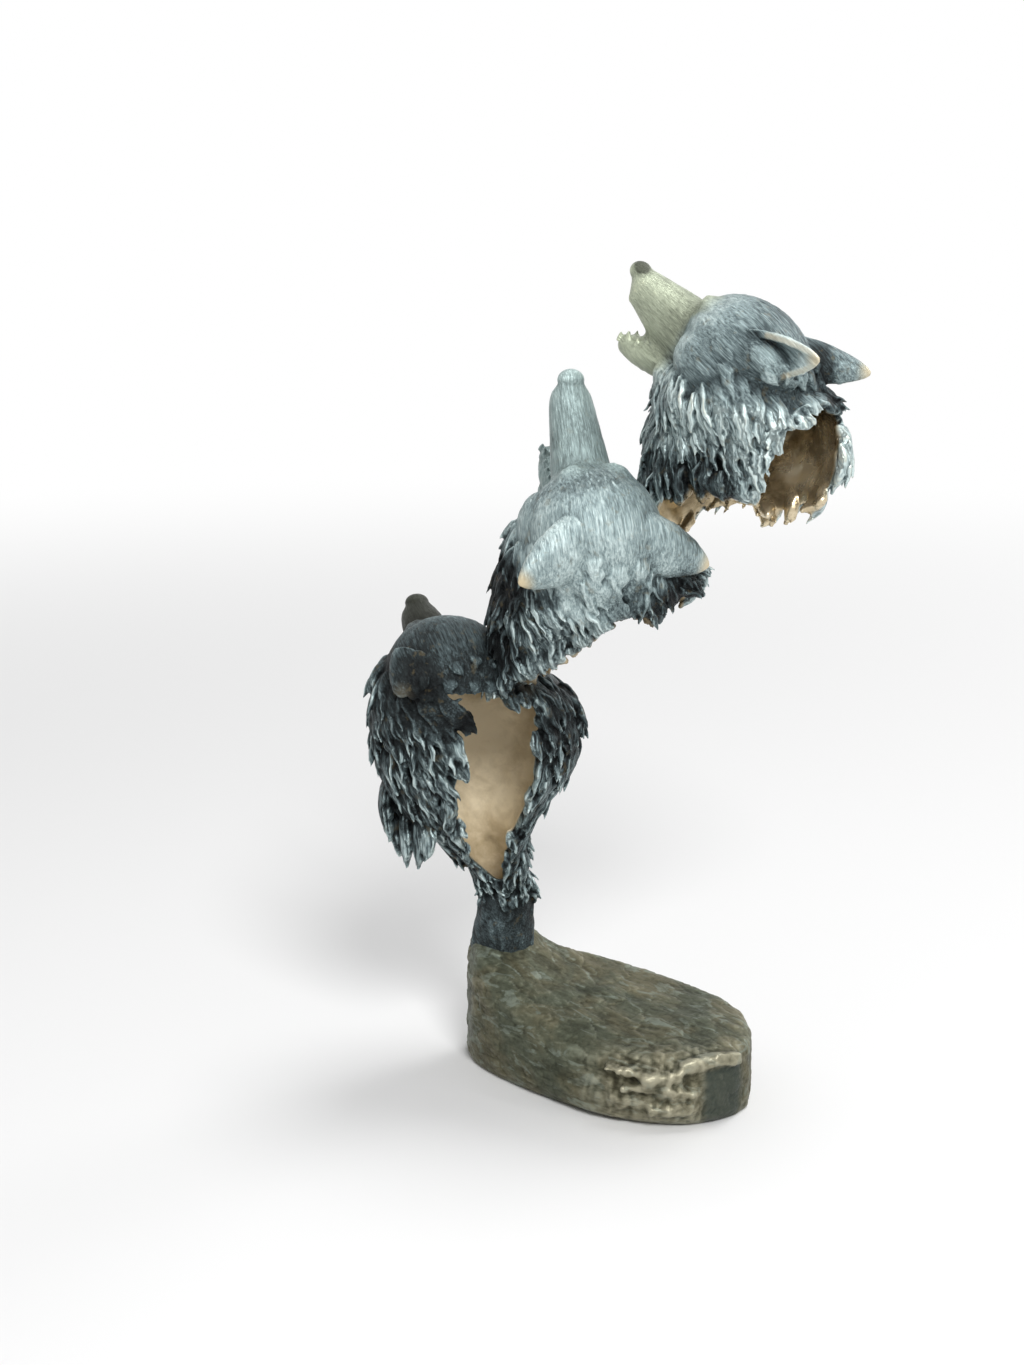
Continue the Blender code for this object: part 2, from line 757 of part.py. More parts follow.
def main():
    for old in list(bpy.data.objects):
        bpy.data.objects.remove(old)
    bm = bmesh.new()
    bm.from_mesh(rock())
    for wolf in WOLVES:
        bm.from_mesh(bust(wolf))
    cast = largest_body(fused(mesh_from(bm, "howling_wolves"), CAST_VOXEL, smooth=1))
    cast.calc_loop_triangles()
    share = MOST_TRIANGLES / len(cast.loop_triangles)
    cast = evaluated(cast, ("DECIMATE", {"ratio": share, "use_collapse_triangulate": True}))
    cast.name = "howling_wolves"
    cast.materials.clear()
    cast.materials.append(bronze())
    sculpture = bpy.data.objects.new("howling_wolves", cast)
    collection = bpy.data.collections.new("howling_wolves")
    bpy.context.scene.collection.children.link(collection)
    collection.objects.link(sculpture)


if __name__ == "__main__":
    main()
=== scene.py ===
"""Bronze sculpture: three howling wolf busts, hollow and open at the back, rising in an arc from a rock.

Each bust is built as a thin cut shell with locks and strands of fur, and the rock with its flakes. They
stand for the one cast body. Metres, +Z up.
"""

import math
import random

import bpy
import numpy as np
from mathutils import Euler, Matrix, Vector, kdtree, noise
from mathutils.bvhtree import BVHTree

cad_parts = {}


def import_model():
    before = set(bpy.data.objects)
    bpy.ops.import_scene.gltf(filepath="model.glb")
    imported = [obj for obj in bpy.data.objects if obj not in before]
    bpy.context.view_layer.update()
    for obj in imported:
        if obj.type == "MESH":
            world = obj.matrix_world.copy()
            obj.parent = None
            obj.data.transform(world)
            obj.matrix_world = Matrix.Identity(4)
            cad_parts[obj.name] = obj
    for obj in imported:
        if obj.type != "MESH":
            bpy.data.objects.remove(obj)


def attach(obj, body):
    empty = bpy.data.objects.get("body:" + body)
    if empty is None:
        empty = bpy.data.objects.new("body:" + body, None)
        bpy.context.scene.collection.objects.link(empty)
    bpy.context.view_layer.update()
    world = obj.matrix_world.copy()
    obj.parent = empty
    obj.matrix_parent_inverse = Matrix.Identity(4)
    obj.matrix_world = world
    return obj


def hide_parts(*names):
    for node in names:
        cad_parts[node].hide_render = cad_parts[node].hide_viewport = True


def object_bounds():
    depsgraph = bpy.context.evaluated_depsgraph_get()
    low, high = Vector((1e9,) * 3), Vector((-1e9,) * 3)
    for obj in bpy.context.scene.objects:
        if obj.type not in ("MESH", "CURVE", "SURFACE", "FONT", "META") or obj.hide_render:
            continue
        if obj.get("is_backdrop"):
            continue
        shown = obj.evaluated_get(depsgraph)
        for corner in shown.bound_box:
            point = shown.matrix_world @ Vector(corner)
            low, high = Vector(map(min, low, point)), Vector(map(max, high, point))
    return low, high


# The casting
WALL = 0.0042
FORM_VOXEL = 0.0022
CAST_VOXEL = 0.00062
ROCK_VOXEL = 0.0010
MOST_TRIANGLES = 196000
NOISE_SEED = 5
# How far the raw metal inside each bust bulges
CAST_LUMPS = {"lower": 0.0009, "middle": 0.0018, "upper": 0.0026}
# Spots of painted shade and painted highlight on each bust, with some darker patina and the upper wolf's
# dark nose: (x, z, radius) in mm and the change of tone
PAINTED_LIGHT_AND_DARK_BRONZE = {
    "lower": [
        (-118, 200, 20, -0.12), (-116, 160, 20, -0.12), (-20, 205, 26, -0.24), (-101, 236, 14, -0.26),
        (-70, 188, 20, 0.30), (-64, 120, 22, -0.16), (-69, 212, 9, -0.30),
    ],
    "middle": [
        (-56, 284, 17, -0.54), (-62, 250, 18, -0.50), (-46, 226, 12, -0.20), (-32, 281, 8, -0.25),
        (16, 272, 18, -0.20), (38, 280, 13, -0.40), (50, 310, 9, -0.2),
    ],
    "upper": [
        (14, 370, 17, -0.34), (18, 338, 18, -0.34), (48, 333, 21, -0.50), (120, 394, 20, -0.30),
        (17.5, 440, 5, -0.75), (115, 370, 10, -0.50), (101, 334, 9, 0.60), (122, 342, 9, 0.70),
        (79, 313, 8, 0.40), (93, 356, 9, -0.25),
    ],
}
# The shares of each spot's radius between which it fades
PATCH_FADE = (0.45, 1.3)

# A wolf's head at scale 1, along its own axes: x to the nose, y to its left, z to the crown
SKULL_RADII = (0.036, 0.0355, 0.028)
CHEEK_RADII = (0.024, 0.015, 0.019)
CHEEK_PLACE = (0.003, 0.022, -0.010)
BROW_RADII = (0.016, 0.011, 0.006)
BROW_PLACE = (0.019, 0.011, 0.0095)
EYE_RADIUS = 0.0042
EYE_PLACE = (0.0285, 0.0140, 0.0050)
MUZZLE_START = 0.016
MUZZLE_ROOT = (0.0180, 0.0120, 0.0200)
MUZZLE_TIP = (0.0105, 0.0065, 0.0100)
LIP_FLARE = 0.16
MUZZLE_BELLY = 1.6
NOSE_RADII = (0.0058, 0.0072, 0.0052)
JAW_HINGE = (-0.002, 0.0, -0.016)
JAW_LENGTH = 0.066
JAW_ROOT = (0.0175, 0.0070, 0.0150)
JAW_TIP = (0.0082, 0.0040, 0.0075)
TONGUE_RADII = (0.024, 0.0062, 0.0034)
CANINE_LENGTH = 0.0085
UPPER_CANINE_LENGTH = 0.0050
MOLAR_LENGTH = 0.0052
MOLAR_RADIUS = 0.0016
CANINE_RADIUS = 0.0019
EAR_WALL = 0.0035
EAR_ROOT_RADII = (0.0150, 0.0120, 0.0100)

# The rock, in millimetres: near edge (x, y, height of the top) and far edge of each section, left to right
ROCK_EDGES = [
    (-75, 58, 62, -68, 72, 70),
    (-71, 38, 66, -52, 76, 79),
    (-59, 19, 57, -36, 75, 76),
    (-44, 2, 48, -18, 73, 66),
    (-23, -18, 41, 4, 73, 60),
    (-2, -34, 38, 25, 70, 55),
    (23, -43, 38, 46, 61, 50),
    (46, -43, 39, 65, 46, 46),
    (66, -32, 39, 77, 28, 42),
    (77, -17, 35, 81, 7, 37),
]
# The share across, near to far, and the share of the top's height, round each section
ROCK_SECTION = [
    (0.08, 0.0), (0.02, 0.12), (0.0, 0.35), (0.01, 0.62), (0.04, 0.85), (0.11, 0.96), (0.25, 1.0),
    (0.5, 1.02), (0.75, 1.0), (0.90, 0.96), (0.97, 0.82), (1.0, 0.55), (1.0, 0.3), (0.98, 0.12),
    (0.92, 0.0),
]
# Slabs (centre, size, turn, tilt, lean) that stand out of the rock's near end
ROCK_LEDGES = [
    ((10, -36, 31), (22, 12, 4), -14, 6, -12),
    ((28, -41, 30), (20, 11, 5), 6, -5, 10),
    ((20, -40, 23), (26, 10, 4), -4, -3, -10),
    ((38, -42, 21), (20, 9, 5), 12, 6, 8),
    ((14, -36, 15), (24, 10, 5), -10, 4, -6),
    ((34, -41, 12), (26, 10, 5), 4, -5, 6),
    ((45, -36, 35), (16, 12, 6), 16, -6, -6),
    ((62, -30, 35), (18, 13, 7), 30, 8, -14),
]

# Locks of fur, the strands on them, and the short fur of the faces
LOCK_LENGTH = 0.023
LOCK_WIDTH = 0.0105
LOCK_HEIGHT = 0.0034
LOCK_ROW = 0.0105
LOCK_STEPS = 14
LOCK_SECTION = ((1, 0), (0.5, 0.8), (0, 1.0), (-0.5, 0.8), (-1, 0), (-0.5, -0.9), (0.5, -0.9))
LOCK_LIFT = 0.0021
LOCK_SINK = 0.7
NECK_OVERHANG = 0.006
SKULL_OVERHANG = 0.011
CHEEK_OVERHANG = 0.010
SKULL_ROWS = ((0.10, 22), (0.28, 20), (0.50, 15), (0.74, 12), (0.95, 7))
HUG_REACH = 0.005
ROOT_REACH = 0.0025
TOUCH_REACH = 0.014
HANG = 0.25
STEM_SHARE = 0.80
STEM_HEIGHTS = (0.088, 0.098)
FULL_LOCK = 0.75
TUFTS = 2
TUFT_STEPS = 11
STRAND_SPACING = 0.0018
STRAND_RADIUS = 0.00078
STRAND_WAVE = 0.0005
SHORT_LENGTH = 0.0070
SHORT_WIDTH = 0.0022
SHORT_HEIGHT = 0.0004
SHORT_COUNT = 1500
SHORT_SECTION = ((1, -0.9), (0.55, 0.7), (0, 1.0), (-0.55, 0.7), (-1, -0.9))

# The view and the light
WORLD_LIGHT = 0.40
CAMERA_PLACE = (-0.049, -1.10, 0.51)
CAMERA_DOWN = 14.25
SENSOR = 36.0
LENS = SENSOR * 2200 / 1365
LAMP_TARGET = (0.0, 0.0, 0.25)
# Name, place, size and power of each lamp
LAMPS = [
    ("key", (0.45, -1.9, 1.9), 0.9, 50),
    ("top", (0.5, 0.3, 2.5), 1.1, 22),
    ("rim", (1.5, 1.4, 1.3), 1.0, 10),
]
FLOOR_COLOUR = (0.80, 0.80, 0.80, 1.0)
WHITE = (1.0, 1.0, 1.0, 1.0)
FLOOR_RADIUS = 8
FLOOR_FADE = (0.45, 2.2)

# How finely the bodies are divided before they are fused
BALL_RINGS = 16
ROUND_SIDES = 24
NECK_STEPS = 30
NECK_SIDES = 40

# Over what distances in metres the vertex values fade: raw metal inside, bare face, worn ear tip and rim
INNER_FADE = (0.0004, 0.0016)
BARE_FADE = (0.0012, 0.0035)
TIP_FADE = (0.001, 0.010)
RIM_FADE = (0.0008, 0.0024)
RIM_WEAR = 0.55
DOME_RADII = (0.050, 0.046, 0.040)
DOME_FADE = (0.85, 1.05)
# Rounds of smoothing that the fine relief and the broad form are measured against
RELIEF_ROUNDS = 6
FORM_ROUNDS = 60

# The rock's skin: the sizes of its scales in millimetres, and heights in metres
LARGE_SCALES = (17, 8, 8)
SMALL_SCALES = (7, 3.6, 3.6)
LARGE_HEIGHT = 0.0008
SMALL_HEIGHT = 0.0004
LUMP_HEIGHT = 0.0008
GRAIN_HEIGHT = 0.00018
FOLD_HEIGHT = 0.0010


def circle(count, start=0.0):
    """The cosine and sine at even steps round a circle."""
    turns = [math.tau * (k + start) / count for k in range(count)]
    return [(math.cos(turn), math.sin(turn)) for turn in turns]


def linked(name, data):
    """A new object, in the scene."""
    made = bpy.data.objects.new(name, data)
    bpy.context.scene.collection.objects.link(made)
    return made


class Soup:
    """Closed bodies collected as points and faces, to be made one mesh."""

    def __init__(self):
        self.points = []
        self.faces = []

    def rings(self, rings):
        """A closed body through rings of points, each with the same number of points."""
        first = len(self.points)
        count = len(rings[0])
        for ring in rings:
            self.points.extend(ring)
        for i in range(len(rings) - 1):
            low = first + i * count
            for k in range(count):
                turn = (k + 1) % count
                self.faces.append((low + k, low + turn, low + count + turn, low + count + k))
        self.faces.append(tuple(range(first + count - 1, first - 1, -1)))
        last = first + (len(rings) - 1) * count
        self.faces.append(tuple(range(last, last + count)))

    def ball(self, matrix, centre, radii):
        place = matrix @ Matrix.Translation(centre)
        rings = []
        for i in range(BALL_RINGS + 1):
            turn = math.pi * (0.02 + 0.96 * i / BALL_RINGS)
            rise, around = math.cos(turn), math.sin(turn)
            wide, deep = radii[0] * around, radii[1] * around
            height = radii[2] * rise
            rings.append([place @ Vector((wide * x, deep * y, height)) for x, y in circle(ROUND_SIDES)])
        self.rings(rings)

    def mesh(self, name):
        mesh = bpy.data.meshes.new(name)
        mesh.from_pydata([tuple(p) for p in self.points], [], self.faces)
        mesh.update()
        return mesh


class Wolf:
    """One bust: its head's place and attitude, its neck's stations downwards, and its free lower edge.

    Each station is x, y, z, half width and half depth in millimetres, then the angle that the opening looks
    to and half its width in degrees. ends lists (angle, share): how far down the neck the wall reaches, at
    angles round it. Angle 0 is the wolf's left, 90 its nape, 180 its right and 270 its throat. manes lists
    free locks as (share down the neck, angle, length in millimetres). muzzle is its length, turn, lift and
    depth, jaw its opening and share of the jaw's length, and ears is what ear() takes, left and right.
    """

    def __init__(
        self, name, skull, heading, pitch, roll, scale, muzzle, jaw, ears, neck, ends, manes, fringe, seed
    ):
        self.name = name
        self.scale = scale
        self.seed = seed
        self.muzzle = muzzle
        self.jaw = jaw
        self.manes = manes
        self.fringe = fringe
        self.ears = ears
        heading, pitch, roll = map(math.radians, (heading, pitch, roll))
        ahead = Vector((-math.sin(heading), math.cos(heading), 0.0))
        level = Vector((-math.cos(heading), -math.sin(heading), 0.0))
        forward = ahead * math.cos(pitch) + Vector((0, 0, math.sin(pitch)))
        left = Matrix.Rotation(roll, 3, forward) @ level
        crown = forward.cross(left)
        axes = Matrix((forward, left, crown)).transposed().to_4x4()
        self.matrix = Matrix.Translation(Vector(skull) * 0.001) @ axes @ Matrix.Scale(scale, 4)
        self.left = level
        stations = np.array(neck, float)
        stations[:, :5] *= 0.001
        self.neck = smooth_rows(stations, 60)
        self.angles = [pair[0] for pair in ends]
        self.shares = [pair[1] for pair in ends]

    def both_ears(self):
        """The side, 1 for left and -1 for right, and the values of each ear."""
        return zip((1, -1), self.ears)

    def at(self, t):
        """The neck's values a share t of the way down it."""
        step = min(max(t, 0.0), 1.0) * (len(self.neck) - 1)
        i = min(int(step), len(self.neck) - 2)
        return self.neck[i] + (self.neck[i + 1] - self.neck[i]) * (step - i)

    def tangent(self, t):
        step = 0.04
        return (Vector(self.at(t + step)[:3]) - Vector(self.at(t - step)[:3])).normalized()

    def reach(self, angle):
        """How far down the neck the wall reaches at this angle, in degrees."""
        return float(np.interp(angle % 360, self.angles, self.shares, period=360))

    def point(self, t, angle, grow=0.0, share=1.0):
        """A point of the neck's wall, angle in degrees."""
        x, y, z, half_width, half_depth = self.at(t)[:5]
        down = self.tangent(t)
        nape = self.left.cross(down).normalized()
        turn = math.radians(angle)
        side = self.left * (half_width + grow) * share * math.cos(turn)
        return Vector((x, y, z)) + side + nape * (half_depth + grow) * share * math.sin(turn)


def smooth_rows(values, count):
    """count rows read off a Catmull-Rom curve through the given rows."""
    rows = np.asarray(values, float)
    padded = np.vstack([2 * rows[0] - rows[1], rows, 2 * rows[-1] - rows[-2]])
    found = []
    for step in np.linspace(0, len(rows) - 1, count):
        i = min(int(step), len(rows) - 2)
        t = step - i
        a, b, c, d = padded[i : i + 4]
        bend = (2 * a - 5 * b + 4 * c - d) * t**2 + (3 * b - a - 3 * c + d) * t**3
        found.append(0.5 * (2 * b + (c - a) * t + bend))
    return np.array(found)


def evaluated(mesh, *modifiers):
    """The mesh after the given modifiers, each (type, settings)."""
    helper = linked("helper", mesh)
    for kind, settings in modifiers:
        modifier = helper.modifiers.new(kind, kind)
        for key, value in settings.items():
            setattr(modifier, key, value)
    graph = bpy.context.evaluated_depsgraph_get()
    made = bpy.data.meshes.new_from_object(helper.evaluated_get(graph))
    bpy.data.objects.remove(helper)
    return made


def fused(mesh, voxel, smooth=0):
    steps = [("REMESH", {"mode": "VOXEL", "voxel_size": voxel, "adaptivity": 0.0})]
    if smooth:
        steps.append(("SMOOTH", {"factor": 0.5, "iterations": smooth}))
    return evaluated(mesh, *steps)


def cut(mesh, cutter):
    """The mesh with the cutter's volume taken away."""
    tool = linked("tool", cutter)
    settings = {"operation": "DIFFERENCE", "object": tool, "solver": "EXACT"}
    made = evaluated(mesh, ("BOOLEAN", settings))
    bpy.data.objects.remove(tool)
    return made


def tree_of(mesh):
    return BVHTree.FromPolygons([v.co for v in mesh.vertices], [p.vertices for p in mesh.polygons])


def neck_body(soup, wolf, grow=0.0, drop=0.0):
    rings = []
    steps = NECK_STEPS
    for i in range(steps + 1):
        ring = []
        for k in range(NECK_SIDES):
            angle = 360 * k / NECK_SIDES
            t = wolf.reach(angle) * i / steps
            extra = wolf.tangent(t) * drop if i == steps else Vector()
            ring.append(wolf.point(t, angle, grow) + extra)
        rings.append(ring)
    soup.rings(rings)


def add_opening(soup, wolf):
    """The wedge that opens the neck at the nape, with ragged edges."""
    chance = random.Random(wolf.seed)
    rings = []
    steps = 26
    for i in range(steps + 1):
        t = i / steps
        open_at, open_half = wolf.at(t)[5:7]
        if open_half < 5:
            continue
        low = open_at - open_half + chance.uniform(-5, 5)
        high = open_at + open_half + chance.uniform(-5, 5)
        extra = wolf.tangent(t) * (0.03 if i == steps else 0.0)
        ring = [wolf.point(t, (low + high) / 2, share=0.0) + extra]
        for k in range(9):
            ring.append(wolf.point(t, low + (high - low) * k / 8, grow=0.025, share=1.1) + extra)
        rings.append(ring)
    soup.rings(rings)


def head_form(soup, wolf, grow=0.0):
    """The skull and cheeks. grow below 0 gives the hollow inside them."""
    grow = grow / wolf.scale
    soup.ball(wolf.matrix, (0, 0, 0), [r + grow for r in SKULL_RADII])
    for side in (1, -1):
        x, y, z = CHEEK_PLACE
        soup.ball(wolf.matrix, (x, y * side, z), [r + grow for r in CHEEK_RADII])
    if grow == 0:
        for side, shape in wolf.both_ears():
            x, y, z = shape[0]
            soup.ball(wolf.matrix, (x, y * side * 0.86, z * 0.80), EAR_ROOT_RADII)


def snout_loft(soup, wolf, start, end, root, tip, blunt, flare=0.0, belly=0.85):
    """A tapering limb with a rounded end. root and tip are (half width, height above, depth below)."""
    start, end = Vector(start), Vector(end)
    axis = (end - start).normalized()
    across = Vector((0, 1, 0))
    across = (across - axis * across.dot(axis)).normalized()
    upward = axis.cross(across)
    rings = []
    steps = 12
    for i in range(steps + 1):
        t = i / steps
        rounding = math.sqrt(max(0.12, 1 - max(0.0, (t - 1 + blunt) / blunt) ** 2))
        tapers = (t**0.85, t**0.85, t**belly)
        width, above, below = [(a + (b - a) * s) * rounding for a, b, s in zip(root, tip, tapers)]
        centre = start.lerp(end, t)
        ring = []
        for sideways, rise in circle(ROUND_SIDES):
            side = width * sideways * (1 - flare * rise)
            height = rise * (above if rise > 0 else below)
            ring.append(wolf.matrix @ (centre + across * side + upward * height))
        rings.append(ring)
    soup.rings(rings)


def add_tooth(soup, wolf, place, along, length, radius):
    """A cone with its foot sunk in the gum."""
    turned = along.to_track_quat("Z", "Y").to_matrix().to_4x4()
    base = wolf.matrix @ Matrix.Translation(place - along * 0.0015) @ turned
    rings = []
    for rise, share in ((0, 1.0), (0.4, 0.86), (0.75, 0.58), (1.0, 0.2)):
        around = radius * share
        rings.append([base @ Vector((around * x, around * y, length * rise)) for x, y in circle(8)])
    soup.rings(rings)


def add_jaw(soup, wolf, yaw, lift, whole):
    """The lower jaw and its tongue, if whole, and its teeth."""
    opening, share = wolf.jaw
    turn = lift - math.radians(opening)
    along = Vector((math.cos(turn) * math.cos(yaw), math.cos(turn) * math.sin(yaw), math.sin(turn)))
    upward = Vector((-math.sin(turn), 0, math.cos(turn)))
    hinge = Vector(JAW_HINGE)
    length = JAW_LENGTH * share
    if whole:
        snout_loft(soup, wolf, hinge, hinge + along * length, JAW_ROOT, JAW_TIP, 0.3)
        tilt = Matrix.Rotation(-turn, 4, "Y")
        tongue = hinge + along * length * 0.62 + upward * 0.0042
        soup.ball(wolf.matrix @ Matrix.Translation(tongue) @ tilt, (0, 0, 0), TONGUE_RADII)
    for side in (1, -1):
        foot = hinge + along * length * 0.90 + upward * 0.0015 + Vector((0, side * 0.0052, 0))
        add_tooth(soup, wolf, foot, upward, CANINE_LENGTH, CANINE_RADIUS)
        for k in range(-2, 5):
            out = side * (0.0066 + 0.0008 * k)
            foot = hinge + along * length * (0.80 - 0.08 * k) + upward * 0.003 + Vector((0, out, 0))
            add_tooth(soup, wolf, foot, upward, MOLAR_LENGTH, MOLAR_RADIUS)


def face(soup, wolf, whole=True):
    """What stands out of the skull in front: nose, eyes and lower teeth, and if whole all the rest."""
    length, yaw, lift, depth = wolf.muzzle
    yaw, lift = math.radians(yaw), math.radians(lift)
    along = Vector((math.cos(yaw) * math.cos(lift), math.sin(yaw) * math.cos(lift), math.sin(lift)))
    start = Vector((MUZZLE_START, 0, -0.002))
    end = start + along * length
    width, above, below = MUZZLE_ROOT
    root = (width, above, below * depth)
    if whole:
        snout_loft(soup, wolf, start, end, root, MUZZLE_TIP, 0.14, LIP_FLARE, MUZZLE_BELLY)
    soup.ball(wolf.matrix, end + Vector((-0.001, 0, 0.0025)), NOSE_RADII)
    for side in (1, -1):
        x, y, z = BROW_PLACE
        if whole:
            soup.ball(wolf.matrix, (x, y * side, z), BROW_RADII)
        x, y, z = EYE_PLACE
        soup.ball(wolf.matrix, (x, y * side, z), (EYE_RADIUS, EYE_RADIUS, EYE_RADIUS))
        fang = start + along * length * 0.86 + Vector((0, side * 0.0078, -0.0075 * depth))
        if whole:
            down = Vector((0.05, 0, -1)).normalized()
            add_tooth(soup, wolf, fang, down, UPPER_CANINE_LENGTH, CANINE_RADIUS)
    add_jaw(soup, wolf, yaw, lift, whole)


def ear(soup, wolf, side, place, direction, facing, length, width):
    """A pointed ear: a cupped sheet whose hollow looks along facing. side mirrors the left ear's numbers.

    It returns the points along the sheet's edge.
    """
    mirror = Vector((1, side, 1))
    direction = (Vector(direction) * mirror).normalized()
    facing = Vector(facing) * mirror
    facing = (facing - direction * facing.dot(direction)).normalized()
    across = direction.cross(facing).normalized()
    sunk = 0.010
    root = Vector(place) * mirror - direction * sunk
    rings = []
    steps = 20
    for i in range(steps + 1):
        t = i / steps
        half = width / 2 * (1 - t**2.0) ** 0.75 + 0.0012
        depth = half * 0.60
        wall = min(EAR_WALL, half * 0.5)
        centre = root + direction * (length + sunk) * t
        outer, inner = [], []
        for k in range(17):
            angle = math.pi * k / 16
            outer.append(centre + across * half * math.cos(angle) - facing * depth * math.sin(angle))
            reach = across * (half - wall) * math.cos(angle) - facing * (depth - wall) * math.sin(angle)
            inner.append(centre + reach + facing * 0.0008)
        rings.append([wolf.matrix @ p for p in outer + inner[::-1]])
    soup.rings(rings)
    edges = []
    for ring in rings[steps // 3 :]:
        edges += [(ring[0] + ring[-1]) / 2, (ring[16] + ring[17]) / 2]
    return edges


def combed(surface, root, direction, normal, length, curl, overhang):
    """Points, directions and normals of a line over the surface, hanging past its edge by the overhang."""
    line = []
    place = Vector(root)
    steps = LOCK_STEPS
    free = 0.0
    for i in range(steps + 1):
        near, near_normal, _, distance = surface.find_nearest(place)
        past = abs((place - near).dot(direction))
        if distance < HUG_REACH and past < HUG_REACH * 0.3 and near_normal.dot(normal) > 0.3:
            place, normal = near, (normal + near_normal).normalized()
        else:
            direction = direction + Vector((0, 0, -HANG * 7 / steps))
            free += length / steps
        direction = (direction - normal * direction.dot(normal)).normalized()
        line.append((place.copy(), direction.copy(), normal.copy()))
        if free > overhang and len(line) > 6:
            break
        across = direction.cross(normal)
        bend = curl * 7 / steps * math.sin(math.tau * (i / steps - 0.1))
        direction = (direction + across * bend).normalized()
        place = place + direction * (length / steps)
    return line


def walk(line):
    """At each point of a combed line: share and length along it, place, direction, way across, normal."""
    along = 0.0
    last = line[0][0]
    for i, (place, direction, normal) in enumerate(line):
        along += (place - last).length
        last = place
        yield i / (len(line) - 1), along, place, direction, direction.cross(normal).normalized(), normal


class Fur:
    """The soup that the locks go into, and the points along every lock, for the finer hairs drawn on it."""

    def __init__(self, soup, seed):
        self.soup = soup
        self.chance = random.Random(seed)
        self.rows = []

    def note(self, centre, direction, across, along, number):
        self.rows.append((*centre, *direction, *across, along, number))

    def tube(self, path):
        """A thin five-sided strand through (place, across, normal, radius)."""
        rings = []
        for place, across, normal, radius in path:
            rings.append([place + across * radius * x + normal * radius * y for x, y in circle(5, 0.5)])
        self.soup.rings(rings)

    def lock(self, line, width, height, lift, stranded=True):
        """One tapering lock along a combed line, its root sunk in and its tip raised, and its strands."""
        chance = self.chance
        number = chance.uniform(0, 90)
        phase, pitch = chance.uniform(0, math.tau), chance.uniform(0.0075, 0.0115)
        rings, spine = [], []
        for t, along, place, direction, across, normal in walk(line):
            swell = math.sin(math.pi * min(1.0, 0.16 + t * 0.84)) ** 0.7
            half = width / 2 * max(0.08, swell)
            thick = height * max(0.14, swell) * (0.7 + 0.5 * t)
            wave = STRAND_WAVE * math.sin(math.tau * along / pitch + phase) * min(1.0, 3 * t)
            sink = height * LOCK_SINK * (1 - t) ** 4
            centre = place + normal * (lift * t * t - sink) + across * wave
            rings.append([centre + across * half * a + normal * thick * b for a, b in LOCK_SECTION])
            spine.append((centre, direction, across, normal, half, thick))
            self.note(centre + normal * thick, direction, across, along, number)
        self.soup.rings(rings)
        if stranded:
            self.strands(spine, width)

    def tufts(self, line, width, height):
        """Smaller locks that lie over a lock, each starting part of the way along it."""
        chance = self.chance
        for _ in range(TUFTS):
            first = chance.randrange(1, max(2, len(line) - TUFT_STEPS + 2))
            part = line[first : first + TUFT_STEPS]
            if len(part) < 4:
                continue
            shift = width * chance.uniform(-0.36, 0.36)
            turn = chance.uniform(-0.22, 0.22)
            rise = height * chance.uniform(0.45, 0.85)
            moved = []
            for place, direction, normal in part:
                across = direction.cross(normal).normalized()
                length = (place - part[0][0]).length
                moved.append((place + across * (shift + turn * length) + normal * rise, direction, normal))
            flick = chance.uniform(0.2, 0.9) if chance.random() < 0.6 else chance.uniform(1.4, 2.6)
            self.lock(moved, width * chance.uniform(0.20, 0.34), height * 0.45, LOCK_LIFT * flick)

    def short(self, line, width, height):
        """A low blade of short hair."""
        number = self.chance.uniform(0, 90)
        rings = []
        for t, along, place, direction, across, normal in walk(line):
            swell = max(0.15, math.sin(math.pi * min(1.0, 0.15 + t * 0.85)) ** 0.7)
            side, rise = across * (width / 2 * swell), normal * height * swell
            rings.append([place + side * a + rise * b for a, b in SHORT_SECTION])
            self.note(place + normal * height, direction, across, along, number)
        self.soup.rings(rings)

    def strands(self, spine, width):
        chance = self.chance
        count = max(2, round(width / STRAND_SPACING))
        for k in range(count):
            share = (k + 0.5 + chance.uniform(-0.2, 0.2)) / count * 2 - 1
            radius = STRAND_RADIUS * chance.uniform(0.8, 1.25)
            first = chance.choice((0, 0, 1, 2))
            last = len(spine) - chance.choice((1, 1, 2, 3))
            shift, phase = chance.uniform(-0.0006, 0.0006), chance.uniform(0, math.tau)
            path = []
            for i in range(first, last):
                centre, direction, across, normal, half, thick = spine[i]
                t = (i - first) / max(1, last - 1 - first)
                side = share * half * 0.92 + shift * t + 0.0004 * math.sin(phase + i * 0.9)
                rise = thick * (1 - 0.5 * share * share) * 0.92
                taper = min(1.0, 0.5 + 3 * t, 0.3 + 2.2 * (1 - t))
                path.append((centre + across * side + normal * rise, across, normal, radius * taper))
            end, across, normal, radius = path[-1]
            direction = spine[min(last, len(spine) - 1)][1]
            tip = end + direction * chance.uniform(0.001, 0.0035) + Vector((0, 0, -0.0006))
            path.append((tip, across, normal, radius * 0.35))
            self.tube(path)


def touch(wolf, surface, t, angle):
    """The outer surface at this share of the neck and this angle, its normal, and the way round it."""
    centre = Vector(wolf.at(t)[:3])
    target = wolf.point(t, angle)
    ray = target - centre
    hit, normal, _, _ = surface.ray_cast(centre + ray * 2.2, -ray.normalized())
    if hit is not None and (hit - target).length > TOUCH_REACH:
        hit = None
    return hit, normal, (wolf.point(t, angle + 3) - target).normalized()


def stands(shell, place):
    """Whether the cut shell is still there at this place of the whole form."""
    return shell.find_nearest(place)[3] < ROOT_REACH


